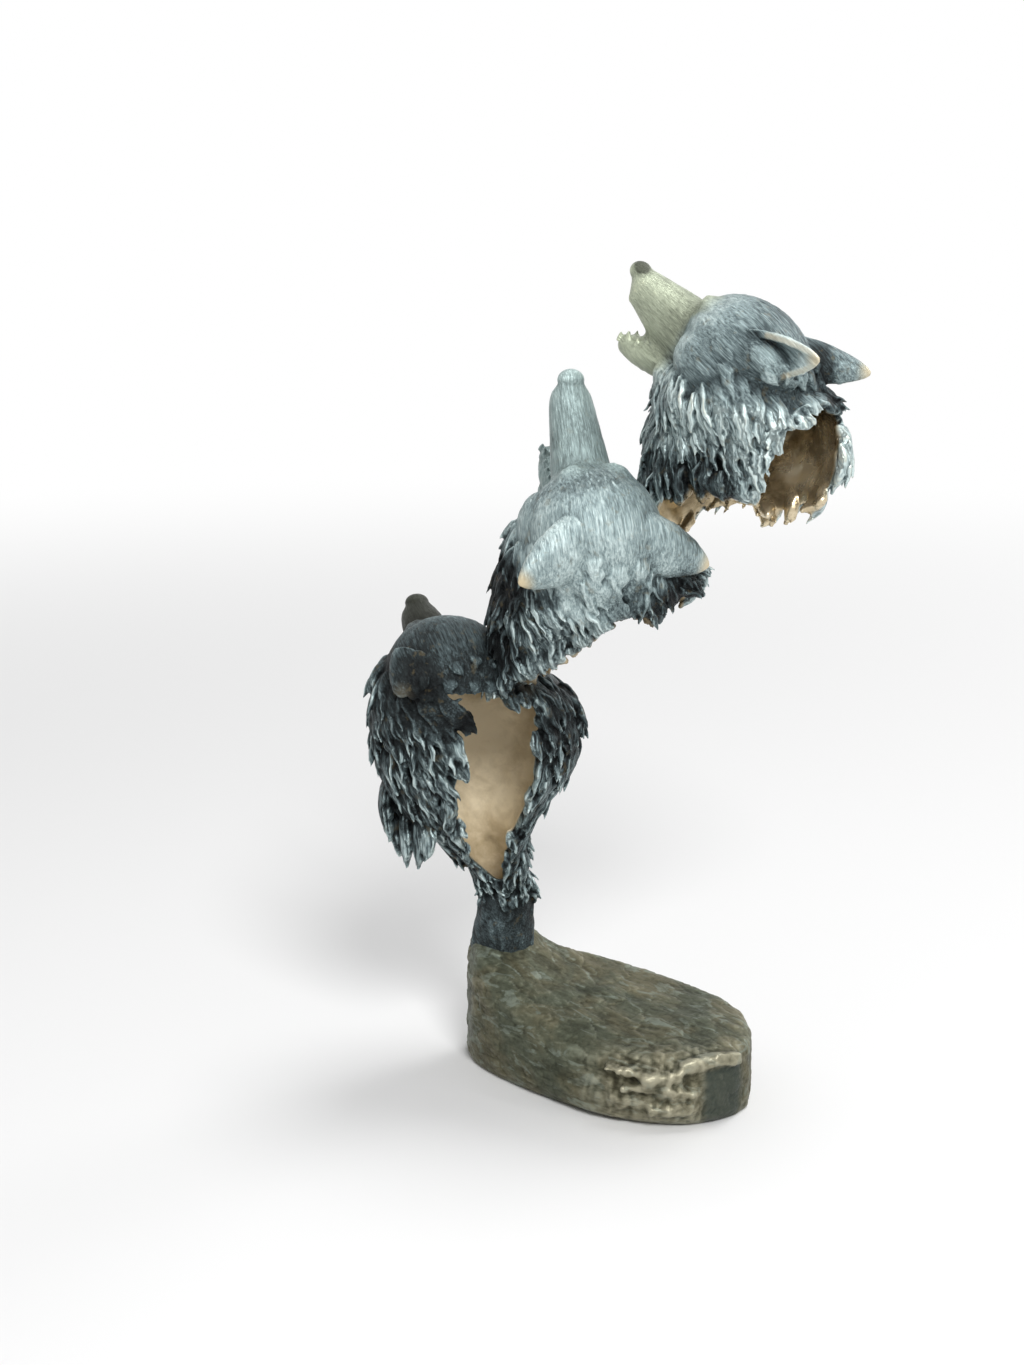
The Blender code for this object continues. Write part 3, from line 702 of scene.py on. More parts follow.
def fur_of_neck(fur, wolf, whole, shell):
    """Rows of locks down the neck and round it, swept towards the opening."""
    chance = random.Random(wolf.seed + 1)
    places = [Vector(wolf.at(i / 50)[:3]) for i in range(51)]
    rows = int(sum((a - b).length for a, b in zip(places, places[1:])) / LOCK_ROW)
    for row in range(rows + 1):
        values = wolf.at(row / rows)
        size = min(1.0, (values[3] + values[4]) / 0.060)
        count = max(6, int(math.pi * (values[3] + values[4]) / (LOCK_WIDTH * 0.86)))
        for k in range(count):
            angle = 360 * (k + 0.5 * (row % 2) + chance.uniform(-0.3, 0.3)) / count
            t = max(0.03, (row + chance.uniform(-0.45, 0.45)) / rows)
            sway, tilt, swell, rise = [chance.uniform(-1, 1) for _ in range(4)]
            if t > wolf.reach(angle) + 0.02:
                continue
            hit, normal, turn = touch(wolf, whole, t, angle)
            if hit is None or normal.z > 0.7 or not stands(shell, hit):
                continue
            away = (angle - wolf.at(t)[5] + 180) % 360 - 180
            on_stem = float(smoothstep(STEM_SHARE - 0.04, STEM_SHARE + 0.04, t)) if wolf.manes else 0.0
            calm = 1 - 0.6 * on_stem
            sweep = math.copysign(0.32, -away) if abs(away) < 150 else 0.3 * tilt
            flow = wolf.tangent(t) + turn * (sweep + 0.2 * sway)
            length = LOCK_LENGTH * size * (1.08 + 0.34 * swell)
            overhang = NECK_OVERHANG * (1.0 + 0.6 * swell)
            line = combed(shell, hit, flow, normal, length, 0.16 * tilt, overhang)
            inland = t < wolf.reach(angle) - 0.1 and abs(away) > wolf.at(t)[6] + 12
            if inland and len(line) < FULL_LOCK * LOCK_STEPS:
                continue
            width = LOCK_WIDTH * size * (1.0 + 0.22 * sway)
            height = LOCK_HEIGHT * size * calm * (1.0 + 0.3 * rise)
            furry = calm > 0.7
            fur.lock(line, width, height, LOCK_LIFT * size * calm * (1.0 + 0.8 * swell), furry)
            if furry:
                fur.tufts(line, width, height)


def fur_of_skull(fur, wolf, whole, shell):
    """Locks round the back half of the skull, combed backwards over the rim of the opening."""
    chance = random.Random(wolf.seed + 3)
    back = (wolf.matrix.to_3x3() @ Vector((-1, 0, 0))).normalized()
    for share, count in SKULL_ROWS:
        for k in range(count):
            angle = math.tau * (k + chance.uniform(-0.25, 0.25)) / count
            shift = chance.uniform(-0.004, 0.004)
            sway, swell, rise = [chance.uniform(-1, 1) for _ in range(3)]
            if share < 0.4 and math.sin(angle) > 0.2:
                continue
            around = math.sqrt(1 - share * share)
            x, y, z = SKULL_RADII
            y, z = y * around * math.cos(angle), z * around * math.sin(angle)
            outside = Vector((-x * share + shift, y, z))
            hit, normal, _, _ = whole.find_nearest(wolf.matrix @ (outside * 1.15))
            if not stands(shell, hit):
                continue
            flow = back + Vector((0, 0, -0.5)) * share
            length = LOCK_LENGTH * wolf.fringe * (0.92 + 0.22 * swell) * (0.6 + 0.4 * share)
            overhang = SKULL_OVERHANG * wolf.fringe * (1.0 + 0.5 * swell)
            if share < 0.4:
                overhang, length = CHEEK_OVERHANG * (1.0 + 0.3 * swell), LOCK_LENGTH * (0.75 + 0.15 * swell)
                flow = flow + Vector((0, 0, -0.5))
            line = combed(shell, hit, flow, normal, length, 0.15 * sway, overhang)
            if len(line) < FULL_LOCK * LOCK_STEPS and share < 0.3:
                continue
            width = LOCK_WIDTH * (0.45 + 0.45 * wolf.fringe + 0.15 * rise)
            height = LOCK_HEIGHT * (0.55 + 0.18 * rise)
            fur.lock(line, width, height, LOCK_LIFT * (0.6 + 0.4 * swell))


def short_fur(fur, wolf, surface):
    """The close, low hair of the skull, cheeks and muzzle, combed back from the nose."""
    chance = random.Random(wolf.seed + 5)
    back = (wolf.matrix.to_3x3() @ Vector((-1, 0, 0))).normalized()
    spread = math.pi * (3 - math.sqrt(5))
    nose = MUZZLE_START + wolf.muzzle[0] - 0.008
    for k in range(SHORT_COUNT):
        x = -1 + 2 * (k + 0.5) / SHORT_COUNT
        around = math.sqrt(1 - x * x)
        turn = spread * k + chance.uniform(-0.2, 0.2)
        if k % 3 == 0:
            ahead = 0.02 + (nose - 0.02) * (k / SHORT_COUNT)
            outside = Vector((ahead, 0.03 * math.cos(turn), 0.04 * math.sin(turn) - 0.008))
        else:
            outside = Vector((0.05 * x, 0.05 * around * math.cos(turn), 0.045 * around * math.sin(turn)))
        hit, normal, _, _ = surface.find_nearest(wolf.matrix @ outside)
        local = wolf.matrix.inverted() @ hit
        muzzle = min(1.0, max(0.0, (local.x - 0.02) / 0.05))
        size = 1.0 - 0.55 * muzzle
        low = 1.0 - 0.7 * muzzle
        stray = Vector((chance.uniform(-0.2, 0.2), chance.uniform(-0.2, 0.2), 0))
        flow = back + Vector((0, 0, -0.35)) + stray
        length = SHORT_LENGTH * size * chance.uniform(0.7, 1.3)
        line = combed(surface, hit, flow, normal, length, chance.uniform(-0.3, 0.3), 0.001)[::3]
        if len(line) < 4:
            continue
        width = SHORT_WIDTH * size * chance.uniform(0.8, 1.2)
        fur.short(line, width, SHORT_HEIGHT * low * chance.uniform(0.6, 1.3))


def hanging_mane(fur, wolf, surface):
    """The long locks that hang free of the neck, straight down."""
    chance = random.Random(wolf.seed + 2)
    for t, angle, length in wolf.manes:
        hit, normal, turn = touch(wolf, surface, t, angle)
        down = (Vector((0.03, 0, -1)) + turn * chance.uniform(-0.1, 0.1)).normalized()
        length = length * 0.001
        line = []
        for i in range(LOCK_STEPS + 2):
            share = i / (LOCK_STEPS + 1)
            sway = turn * length * 0.06 * math.sin(math.pi * 1.6 * share + t * 40)
            line.append((hit + down * length * share + sway - normal * 0.002 * share * share, down, normal))
        fur.lock(line, length * 0.34, 0.0046, 0.0)


def edges_of(mesh):
    edges = np.zeros(len(mesh.edges) * 2, np.int32)
    mesh.edges.foreach_get("vertices", edges)
    return edges.reshape(-1, 2)


def vectors_of(mesh, kind):
    """The co or the normal of every vertex, in rows."""
    values = np.zeros(len(mesh.vertices) * 3, np.float32)
    mesh.vertices.foreach_get(kind, values)
    return values.reshape(-1, 3).astype(float)


def move_vertices(mesh, places):
    mesh.vertices.foreach_set("co", places.astype(np.float32).ravel())
    mesh.update()


def kept_bodies(mesh):
    """The mesh's largest connected body alone, without what floats or is sealed inside.

    Each vertex takes the lowest number among its neighbours, until a whole body has one number.
    """
    edges = edges_of(mesh)
    label = np.arange(len(mesh.vertices))
    while True:
        low = np.minimum(label[edges[:, 0]], label[edges[:, 1]])
        before = label.copy()
        np.minimum.at(label, edges[:, 0], low)
        np.minimum.at(label, edges[:, 1], low)
        label = label[label]
        label = label[label]
        if (label == before).all():
            break
    values, counts = np.unique(label, return_counts=True)
    keep = label == values[counts.argmax()]
    if keep.all():
        return mesh
    place = vectors_of(mesh, "co")[keep]
    index = np.cumsum(keep) - 1
    faces = [[int(index[i]) for i in p.vertices] for p in mesh.polygons if keep[p.vertices[0]]]
    made = bpy.data.meshes.new(mesh.name)
    made.from_pydata(place.tolist(), [], faces)
    made.update()
    return made


def lightened(mesh, most):
    """The mesh brought under a number of triangles, the flat places first."""
    triangles = sum(len(p.vertices) - 2 for p in mesh.polygons)
    if triangles <= most:
        return mesh
    return evaluated(mesh, ("DECIMATE", {"ratio": most / triangles, "use_collapse_triangulate": True}))


def set_float(mesh, name, values):
    mesh.attributes.new(name, "FLOAT", "POINT").data.foreach_set("value", np.asarray(values, np.float32))


def set_vector(mesh, name, values):
    layer = mesh.attributes.new(name, "FLOAT_VECTOR", "POINT")
    layer.data.foreach_set("vector", np.asarray(values, np.float32).ravel())


def height_over(mesh, rounds):
    """How far each vertex stands out of the surface smoothed over its neighbours, in millimetres."""
    edges = edges_of(mesh)
    ends = np.concatenate([edges[:, 0], edges[:, 1]])
    others = np.concatenate([edges[:, 1], edges[:, 0]])
    count = len(mesh.vertices)
    degree = np.maximum(1, np.bincount(ends, minlength=count))[:, None]
    place = vectors_of(mesh, "co")
    smooth = place.copy()
    normal = vectors_of(mesh, "normal")
    for _ in range(rounds):
        total = np.stack([np.bincount(ends, smooth[others, axis], count) for axis in range(3)], axis=1)
        smooth = 0.4 * smooth + 0.6 * total / degree
    return ((place - smooth) * normal).sum(axis=1) * 1000


def tree_of_points(points):
    tree = kdtree.KDTree(len(points))
    for i, point in enumerate(points):
        tree.insert(point, i)
    tree.balance()
    return tree


def smoothstep(low, high, values):
    t = np.clip((values - low) / (high - low), 0, 1)
    return t * t * (3 - 2 * t)


def dress_wolf(mesh, wolf, rows, cavity, rims, bare):
    """The per-vertex values that the bronze's colour and fine hair are drawn from."""
    place = vectors_of(mesh, "co")
    rows = np.array(rows)
    tree = tree_of_points(rows[:, :3])
    nearest = rows[[tree.find(point)[1] for point in place]]
    offset = place - nearest[:, :3]
    along = nearest[:, 9] + (offset * nearest[:, 3:6]).sum(axis=1)
    across = (offset * nearest[:, 6:9]).sum(axis=1)
    set_vector(mesh, "flow", np.stack([along, across, nearest[:, 10] * 0.01], axis=1) * 1000)
    set_float(mesh, "relief", height_over(mesh, RELIEF_ROUNDS))
    set_float(mesh, "form", height_over(mesh, FORM_ROUNDS))
    tree = tree_of(cavity)
    gap = np.zeros(len(place))
    for i, point in enumerate(place):
        near, normal, _, distance = tree.find_nearest(Vector(point))
        gap[i] = distance if (Vector(point) - near).dot(normal) > 0 else -distance
    inner = 1 - smoothstep(*INNER_FADE, gap)
    set_float(mesh, "inner", inner)
    coarse = np.array([noise.noise(Vector(point) * 70) for point in place])
    lumps = coarse + np.array([0.5 * noise.noise(Vector(point) * 150) for point in place]) + 0.2
    moved = place + vectors_of(mesh, "normal") * (inner * lumps * CAST_LUMPS[wolf.name])[:, None]
    move_vertices(mesh, moved)
    painted_light_and_dark_bronze = np.zeros(len(place))
    # Painted shade and painted highlight, with some darker patina and the dark nose, laid on in spots
    for x, z, radius, change in PAINTED_LIGHT_AND_DARK_BRONZE[wolf.name]:
        away = np.hypot(place[:, 0] * 1000 - x, place[:, 2] * 1000 - z)
        painted_light_and_dark_bronze += change * (1 - smoothstep(*PATCH_FADE, away / radius))
    set_float(mesh, "painted_light_and_dark_bronze", painted_light_and_dark_bronze)
    inverse = np.array(wolf.matrix.inverted())
    local = place @ inverse[:3, :3].T + inverse[:3, 3]
    set_vector(mesh, "head", local * 1000)
    apart = np.array([bare.find_nearest(Vector(point))[3] for point in place])
    set_float(mesh, "bare", 1 - smoothstep(*BARE_FADE, apart))
    ear_tip = np.zeros(len(place))
    for side, (root, direction, _, length, _) in wolf.both_ears():
        mirror = Vector((1, side, 1))
        tip = Vector(root) * mirror + (Vector(direction) * mirror).normalized() * length
        away = np.linalg.norm(local - np.array(tip), axis=1)
        ear_tip = np.maximum(ear_tip, 1 - smoothstep(*TIP_FADE, away))
    tree = tree_of_points(rims)
    rim = np.array([tree.find(point)[2] for point in place])
    ear_tip = np.maximum(ear_tip, RIM_WEAR * (1 - smoothstep(*RIM_FADE, rim)))
    set_float(mesh, "ear_tip", ear_tip)
    shape = np.linalg.norm(local / np.array(DOME_RADII), axis=1)
    behind = 1 - smoothstep(0.010, 0.030, local[:, 0])
    dome = (1 - smoothstep(*DOME_FADE, shape)) * np.maximum(behind, 0.4)
    set_float(mesh, "dome", np.maximum(dome, 1 - smoothstep(*STEM_HEIGHTS, place[:, 2])))


def bust(wolf):
    """The bust: the cut shell, ears, locks and hair fused, with its vertex values."""
    soup = Soup()
    head_form(soup, wolf)
    face(soup, wolf)
    neck_body(soup, wolf)
    form = fused(soup.mesh("form"), FORM_VOXEL, smooth=5)
    whole = tree_of(form)
    hollow = Soup()
    head_form(hollow, wolf, -WALL)
    neck_body(hollow, wolf, -WALL, drop=0.02)
    cavity = fused(hollow.mesh("cavity"), FORM_VOXEL, smooth=4)
    add_opening(hollow, wolf)
    shell = cut(form, fused(hollow.mesh("hollow"), FORM_VOXEL, smooth=2))
    edge = tree_of(shell)
    soup = Soup()
    soup.points = [v.co.copy() for v in shell.vertices]
    soup.faces = [tuple(p.vertices) for p in shell.polygons]
    rims = []
    for side, shape in wolf.both_ears():
        rims += ear(soup, wolf, side, *shape)
    eared = BVHTree.FromPolygons(soup.points, soup.faces)
    face(soup, wolf, whole=False)
    bare = Soup()
    face(bare, wolf)
    for side, shape in wolf.both_ears():
        ear(bare, wolf, side, *shape)
    bare = BVHTree.FromPolygons(bare.points, bare.faces)
    fur = Fur(soup, wolf.seed + 7)
    fur_of_neck(fur, wolf, whole, edge)
    fur_of_skull(fur, wolf, whole, edge)
    hanging_mane(fur, wolf, whole)
    short_fur(fur, wolf, eared)
    mesh = kept_bodies(fused(soup.mesh("wolf_" + wolf.name), CAST_VOXEL, smooth=1))
    mesh = lightened(mesh, MOST_TRIANGLES)
    dress_wolf(mesh, wolf, fur.rows, cavity, rims, bare)
    return mesh


LOWER = Wolf(
    "lower",
    (-81, 13, 234),
    heading=22,
    pitch=26,
    roll=0,
    scale=0.92,
    muzzle=(0.0475, 0, 0, 1.0),
    jaw=(24, 1.0),
    ears=(((-0.012, 0.030, 0.012), (-0.62, 0.45, -0.30), (-0.20, 0.10, -0.95), 0.017, 0.024),) * 2,
    neck=[
        (-79, 18, 240, 34, 30, 84, 20),
        (-73, 25, 226, 47, 36, 96, 28),
        (-68, 30, 209, 54, 38, 89, 27),
        (-68, 34, 184, 53, 38, 87, 29),
        (-71, 39, 160, 40, 33, 94, 33),
        (-68, 46, 138, 24, 24, 84, 34),
        (-59, 53, 118, 17, 18, 62, 30),
        (-52, 56, 102, 14, 14, 60, 0),
        (-53, 58, 84, 16, 15, 90, 0),
        (-54, 59, 62, 18, 17, 90, 0),
    ],
    ends=[(0, 1.0), (180, 1.0)],
    manes=[
        (0.40, -34, 38), (0.42, -16, 42), (0.44, 2, 40), (0.45, 20, 34), (0.44, 36, 28), (0.36, -6, 42),
        (0.36, -52, 36),
    ],
    fringe=0.5,
    seed=11,
)
MIDDLE = Wolf(
    "middle",
    (-7, -12, 310),
    heading=22,
    pitch=66,
    roll=0,
    scale=1.0,
    muzzle=(0.066, 0, 0, 1.0),
    jaw=(24, 1.0),
    ears=(
        ((-0.010, 0.023, 0.014), (-0.45, 0.85, -0.05), (0.25, 0.15, -0.95), 0.031, 0.030),
        ((-0.010, 0.022, 0.014), (-0.36, 0.88, -0.05), (0.25, 0.15, -0.95), 0.034, 0.030),
    ),
    neck=[
        (-7, -4, 314, 38, 30, 90, 0),
        (-5, 4, 299, 46, 36, 156, 0),
        (-2, 10, 284, 54, 41, 150, 30),
        (-6, 15, 266, 53, 39, 120, 58),
        (-14, 16, 249, 46, 35, 118, 56),
        (-26, 14, 225, 36, 30, 118, 58),
    ],
    ends=[
        (0, 1.0), (30, 0.96), (44, 0.82), (60, 0.66), (74, 0.42), (92, 0.31), (124, 0.28), (138, 0.56),
        (180, 0.56), (240, 0.70), (300, 0.92),
    ],
    manes=[],
    fringe=1.05,
    seed=22,
)
UPPER = Wolf(
    "upper",
    (70, 14, 396),
    heading=58,
    pitch=38,
    roll=6,
    scale=1.0,
    muzzle=(0.059, 0, -6.5, 1.5),
    jaw=(16, 1.02),
    ears=(
        ((-0.015, 0.027, 0.014), (-0.78, 0.24, 0.60), (0.10, 0.85, -0.45), 0.031, 0.024),
        ((-0.016, 0.020, 0.012), (-0.78, 0.50, 0.42), (0.10, 0.75, -0.55), 0.037, 0.024),
    ),
    neck=[
        (72, 16, 390, 38, 34, 90, 0),
        (71, 20, 374, 44, 44, 86, 34),
        (73, 24, 358, 44, 50, 72, 39),
        (68, 27, 339, 42, 50, 70, 38),
        (56, 28, 318, 36, 38, 70, 50),
        (44, 26, 299, 26, 28, 78, 60),
        (36, 22, 282, 19, 21, 90, 64),
    ],
    ends=[
        (0, 0.50), (50, 0.48), (108, 0.36), (117, 0.43), (126, 0.54), (135, 0.46), (144, 0.54), (157, 0.70),
        (171, 0.56), (225, 0.85), (270, 1.0), (315, 0.95), (335, 0.62),
    ],
    manes=[],
    fringe=0.6,
    seed=33,
)
WOLVES = (LOWER, MIDDLE, UPPER)


def rock_form(soup):
    """The rock's bulk: a loft along its length through sections between its near and far edges."""
    rings = []
    edges = [[value * 0.001 for value in row] for row in ROCK_EDGES]
    for near_x, near_y, near_top, far_x, far_y, far_top in smooth_rows(edges, 60):
        near, far = Vector((near_x, near_y, 0)), Vector((far_x, far_y, 0))
        ring = []
        for across, rise in ROCK_SECTION:
            top = near_top + (far_top - near_top) * across
            point = near.lerp(far, across)
            ring.append(Vector((point.x, point.y, top * rise)))
        rings.append(ring)
    soup.rings(rings)


def slab(soup, centre, size, turn, tilt, lean):
    """A box turned about Z, tilted along its length and leaning across it, in millimetres and degrees."""
    turned = Euler([math.radians(angle) for angle in (lean, tilt, turn)]).to_matrix().to_4x4()
    sized = Matrix.Diagonal((*[value * 0.001 for value in size], 1.0))
    place = Matrix.Translation(Vector(centre) * 0.001) @ turned @ sized
    rings = []
    corners = ((-0.5, -0.5), (0.5, -0.5), (0.5, 0.5), (-0.5, 0.5))
    for z in (-0.5, 0.5):
        rings.append([place @ Vector((x, y, z)) for x, y in corners])
    soup.rings(rings)


def flake_layer(along, across, up, sizes, seed):
    """Height of overlapping scales, 0 to 1: each cell tilts up along the rock and ends in a small step."""
    length, width, thick = sizes
    spot = Vector((along / length + seed, across / width, up / thick))
    spot += 0.35 * noise.noise_vector(spot * 0.9)
    distances, places = noise.voronoi(spot)
    centre = places[0]
    tilt = min(1.0, max(0.0, 0.5 + 0.7 * (spot.x - centre.x) + 0.3 * (spot.y - centre.y)))
    edge = min(1.0, (distances[1] - distances[0]) / 0.16)
    return (0.35 * noise.cell(centre * 7.3) + 0.65 * tilt) * (0.55 + 0.45 * edge)


def rise_over(start, length, value):
    """A rise from 0 to 1 over the length from the start."""
    return min(1.0, max(0.0, (value - start) / length))


def flakes(point):
    """How far the rock's skin stands out here, in metres: two sizes of scales, lumps and folded metal."""
    x, y, z = [v * 1000 for v in point]
    along, across = 0.80 * x - 0.60 * y, 0.60 * x + 0.80 * y
    large = flake_layer(along, across, z, LARGE_SCALES, 0)
    small = flake_layer(along, across, z, SMALL_SCALES, 31)
    lumps = noise.noise(Vector((along / 14, across / 9, z / 8)))
    grain = noise.noise(Vector((along / 2.2, across / 1.5, z / 1.4)))
    # 1 up to 48 mm, and 0 from 58 mm on, where the smooth facet is
    before_facet = rise_over(-58, 10, -x)
    near = rise_over(20, 14, -y) * rise_over(-18, 22, x) * before_facet
    bend = noise.noise_vector(Vector((x / 13, y / 13, z / 13))) * 1.1
    folds = noise.noise(Vector((x / 6.5 + 5, y / 6.5, z / 9)) + bend)
    drips = noise.noise(Vector((x / 3.0, y / 3.0, z / 10)) + bend * 0.9)
    front = rise_over(16, 16, -y) * before_facet
    crumple = near * folds + (0.35 * front + 0.4 * near) * drips
    scales = LARGE_HEIGHT * (large - 0.5) + SMALL_HEIGHT * (small - 0.5)
    skin = scales * (1 - 0.7 * front) + LUMP_HEIGHT * lumps + GRAIN_HEIGHT * grain
    return skin + FOLD_HEIGHT * crumple


def rock():
    """The rock with its broken ledges and its flaking skin."""
    soup = Soup()
    rock_form(soup)
    for ledge in ROCK_LEDGES:
        slab(soup, *ledge)
    form = fused(soup.mesh("rock"), ROCK_VOXEL * 1.6, smooth=3)
    mesh = fused(form, ROCK_VOXEL, smooth=2)
    place, normal = vectors_of(mesh, "co"), vectors_of(mesh, "normal")
    foot = smoothstep(0.0, 0.006, place[:, 2])
    shift = np.array([flakes(point) for point in place]) * foot
    place = place + normal * shift[:, None]
    place[:, 2] = np.maximum(place[:, 2], 0.0)
    move_vertices(mesh, place)
    mesh = lightened(mesh, MOST_TRIANGLES)
    mesh.name = "rock"
    set_float(mesh, "relief", height_over(mesh, RELIEF_ROUNDS))
    set_float(mesh, "form", height_over(mesh, FORM_ROUNDS))
    return mesh


class Paint:
    """The node tree of a material or of the world, under construction."""

    def __init__(self, owner, shader="Principled BSDF"):
        owner.use_nodes = True
        self.owner = owner
        self.tree = owner.node_tree
        self.shader = self.tree.nodes[shader]

    def put(self, socket, value):
        if isinstance(value, bpy.types.NodeSocket):
            self.tree.links.new(value, socket)
        else:
            socket.default_value = value

    def node(self, kind, inputs=(), **settings):
        made = self.tree.nodes.new(kind)
        for key, value in settings.items():
            setattr(made, key, value)
        for key, value in dict(inputs).items():
            self.put(made.inputs[key], value)
        return made

    def attribute(self, name, part="Fac"):
        return self.node("ShaderNodeAttribute", attribute_name=name).outputs[part]

    def math(self, operation, a, b=0.0, c=0.0):
        return self.node("ShaderNodeMath", {0: a, 1: b, 2: c}, operation=operation).outputs[0]

    def add(self, total, *parts):
        for part in parts:
            total = self.math("ADD", total, part)
        return total

    def times(self, a, b):
        return self.math("MULTIPLY", a, b)

    def most(self, a, b):
        return self.math("MAXIMUM", a, b)

    def swing(self, value, amount):
        """How far a value is from a half, times an amount."""
        return self.times(self.add(value, -0.5), amount)

    def place(self):
        return self.node("ShaderNodeNewGeometry").outputs["Position"]

    def seen(self):
        """1 for what is looked at, straight, mirrored or through glass, and 0 for light on the object."""
        path = self.node("ShaderNodeLightPath").outputs
        mirrored = self.most(path["Is Glossy Ray"], path["Is Transmission Ray"])
        return self.most(path["Is Camera Ray"], mirrored)

    def span(self, value, low, high, out_low=0.0, out_high=1.0):
        """value moved smoothly from low..high to out_low..out_high."""
        inputs = {0: value, 1: low, 2: high, 3: out_low, 4: out_high}
        return self.node("ShaderNodeMapRange", inputs, interpolation_type="SMOOTHSTEP").outputs[0]

    def scaled(self, vector, scale):
        return self.node("ShaderNodeVectorMath", {0: vector, 1: scale}, operation="MULTIPLY").outputs[0]

    def noise(self, vector, scale, detail=3.0, roughness=0.55, distortion=0.0):
        values = {"Scale": scale, "Detail": detail, "Roughness": roughness, "Distortion": distortion}
        return self.node("ShaderNodeTexNoise", {"Vector": vector, **values}).outputs[0]

    def ramp(self, value, stops):
        made = self.node("ShaderNodeValToRGB", {0: value})
        band = made.color_ramp
        while len(band.elements) < len(stops):
            band.elements.new(0.5)
        for element, (place, colour) in zip(band.elements, stops):
            element.position = place
            element.color = (*colour, 1.0)
        return made.outputs[0]

    def mix(self, share, a, b):
        """Colour a with share of colour b over it."""
        made = self.node("ShaderNodeMix", data_type="RGBA")
        self.put(made.inputs[0], share)
        self.put(made.inputs[6], a if isinstance(a, bpy.types.NodeSocket) else (*a, 1.0))
        self.put(made.inputs[7], b if isinstance(b, bpy.types.NodeSocket) else (*b, 1.0))
        return made.outputs[2]

    def blend(self, share, a, b):
        """Number a with share of number b over it."""
        return self.node("ShaderNodeMix", {0: share, 2: a, 3: b}, data_type="FLOAT").outputs[0]

    def bump(self, height, distance, strength, normal=None):
        inputs = {"Height": height, "Distance": distance, "Strength": strength}
        if normal is not None:
            inputs["Normal"] = normal
        return self.node("ShaderNodeBump", inputs).outputs[0]

    def coat(self, **values):
        """Set the shader's own sockets, named with _ for a space."""
        for name, value in values.items():
            self.put(self.shader.inputs[name.replace("_", " ")], value)
        return self.owner


# The fur's patina from darkest to lightest: its dark end carries the painted shade of crevices, its pale
# end the painted highlight of ridges
SHADED_TO_LIT_PATINA = [
    (0.0, (0.003, 0.004, 0.0045)),
    (0.26, (0.016, 0.021, 0.022)),
    (0.48, (0.070, 0.096, 0.102)),
    (0.70, (0.250, 0.320, 0.325)),
    (1.0, (0.62, 0.73, 0.72)),
]
RAW_BRONZE = [
    (0.0, (0.040, 0.030, 0.015)),
    (0.35, (0.235, 0.185, 0.110)),
    (0.62, (0.500, 0.410, 0.265)),
    (1.0, (0.80, 0.70, 0.51)),
]
WORN_GOLD = (0.66, 0.56, 0.37)
FLECK_BROWN = (0.16, 0.13, 0.07)
PALE_FLAKE = (0.205, 0.240, 0.200)
ROCK_GOLD = (0.40, 0.375, 0.275)
FACET_GREEN = (0.040, 0.052, 0.044)
ROCK_GREEN = [
    (0.0, (0.014, 0.016, 0.011)),
    (0.35, (0.046, 0.051, 0.034)),
    (0.62, (0.094, 0.104, 0.072)),
    (1.0, (0.22, 0.245, 0.185)),
]
ROCK_BEIGE = [
    (0.0, (0.018, 0.015, 0.009)),
    (0.35, (0.066, 0.062, 0.036)),
    (0.62, (0.130, 0.122, 0.076)),
    (1.0, (0.28, 0.265, 0.185)),
]
GLOSS = 0.2
# For each bust: muzzle colour and share, brightness of the fur, change of tone on the dome (on the middle
# bust a painted highlight on its top), worn ear tips, and for the inside its brightness, metallic value and
# roughness
LOOKS = {
    "lower": ((0.019, 0.020, 0.014), 0.97, -0.08, -0.17, 0.10, 0.92, 0.15, 0.62),
    "middle": ((0.215, 0.275, 0.265), 0.6, 0.06, 0.13, 1.0, 0.42, 0.60, 0.42),
    "upper": ((0.305, 0.335, 0.245), 0.95, 0.27, -0.26, 0.8, 0.68, 0.78, 0.27),
}


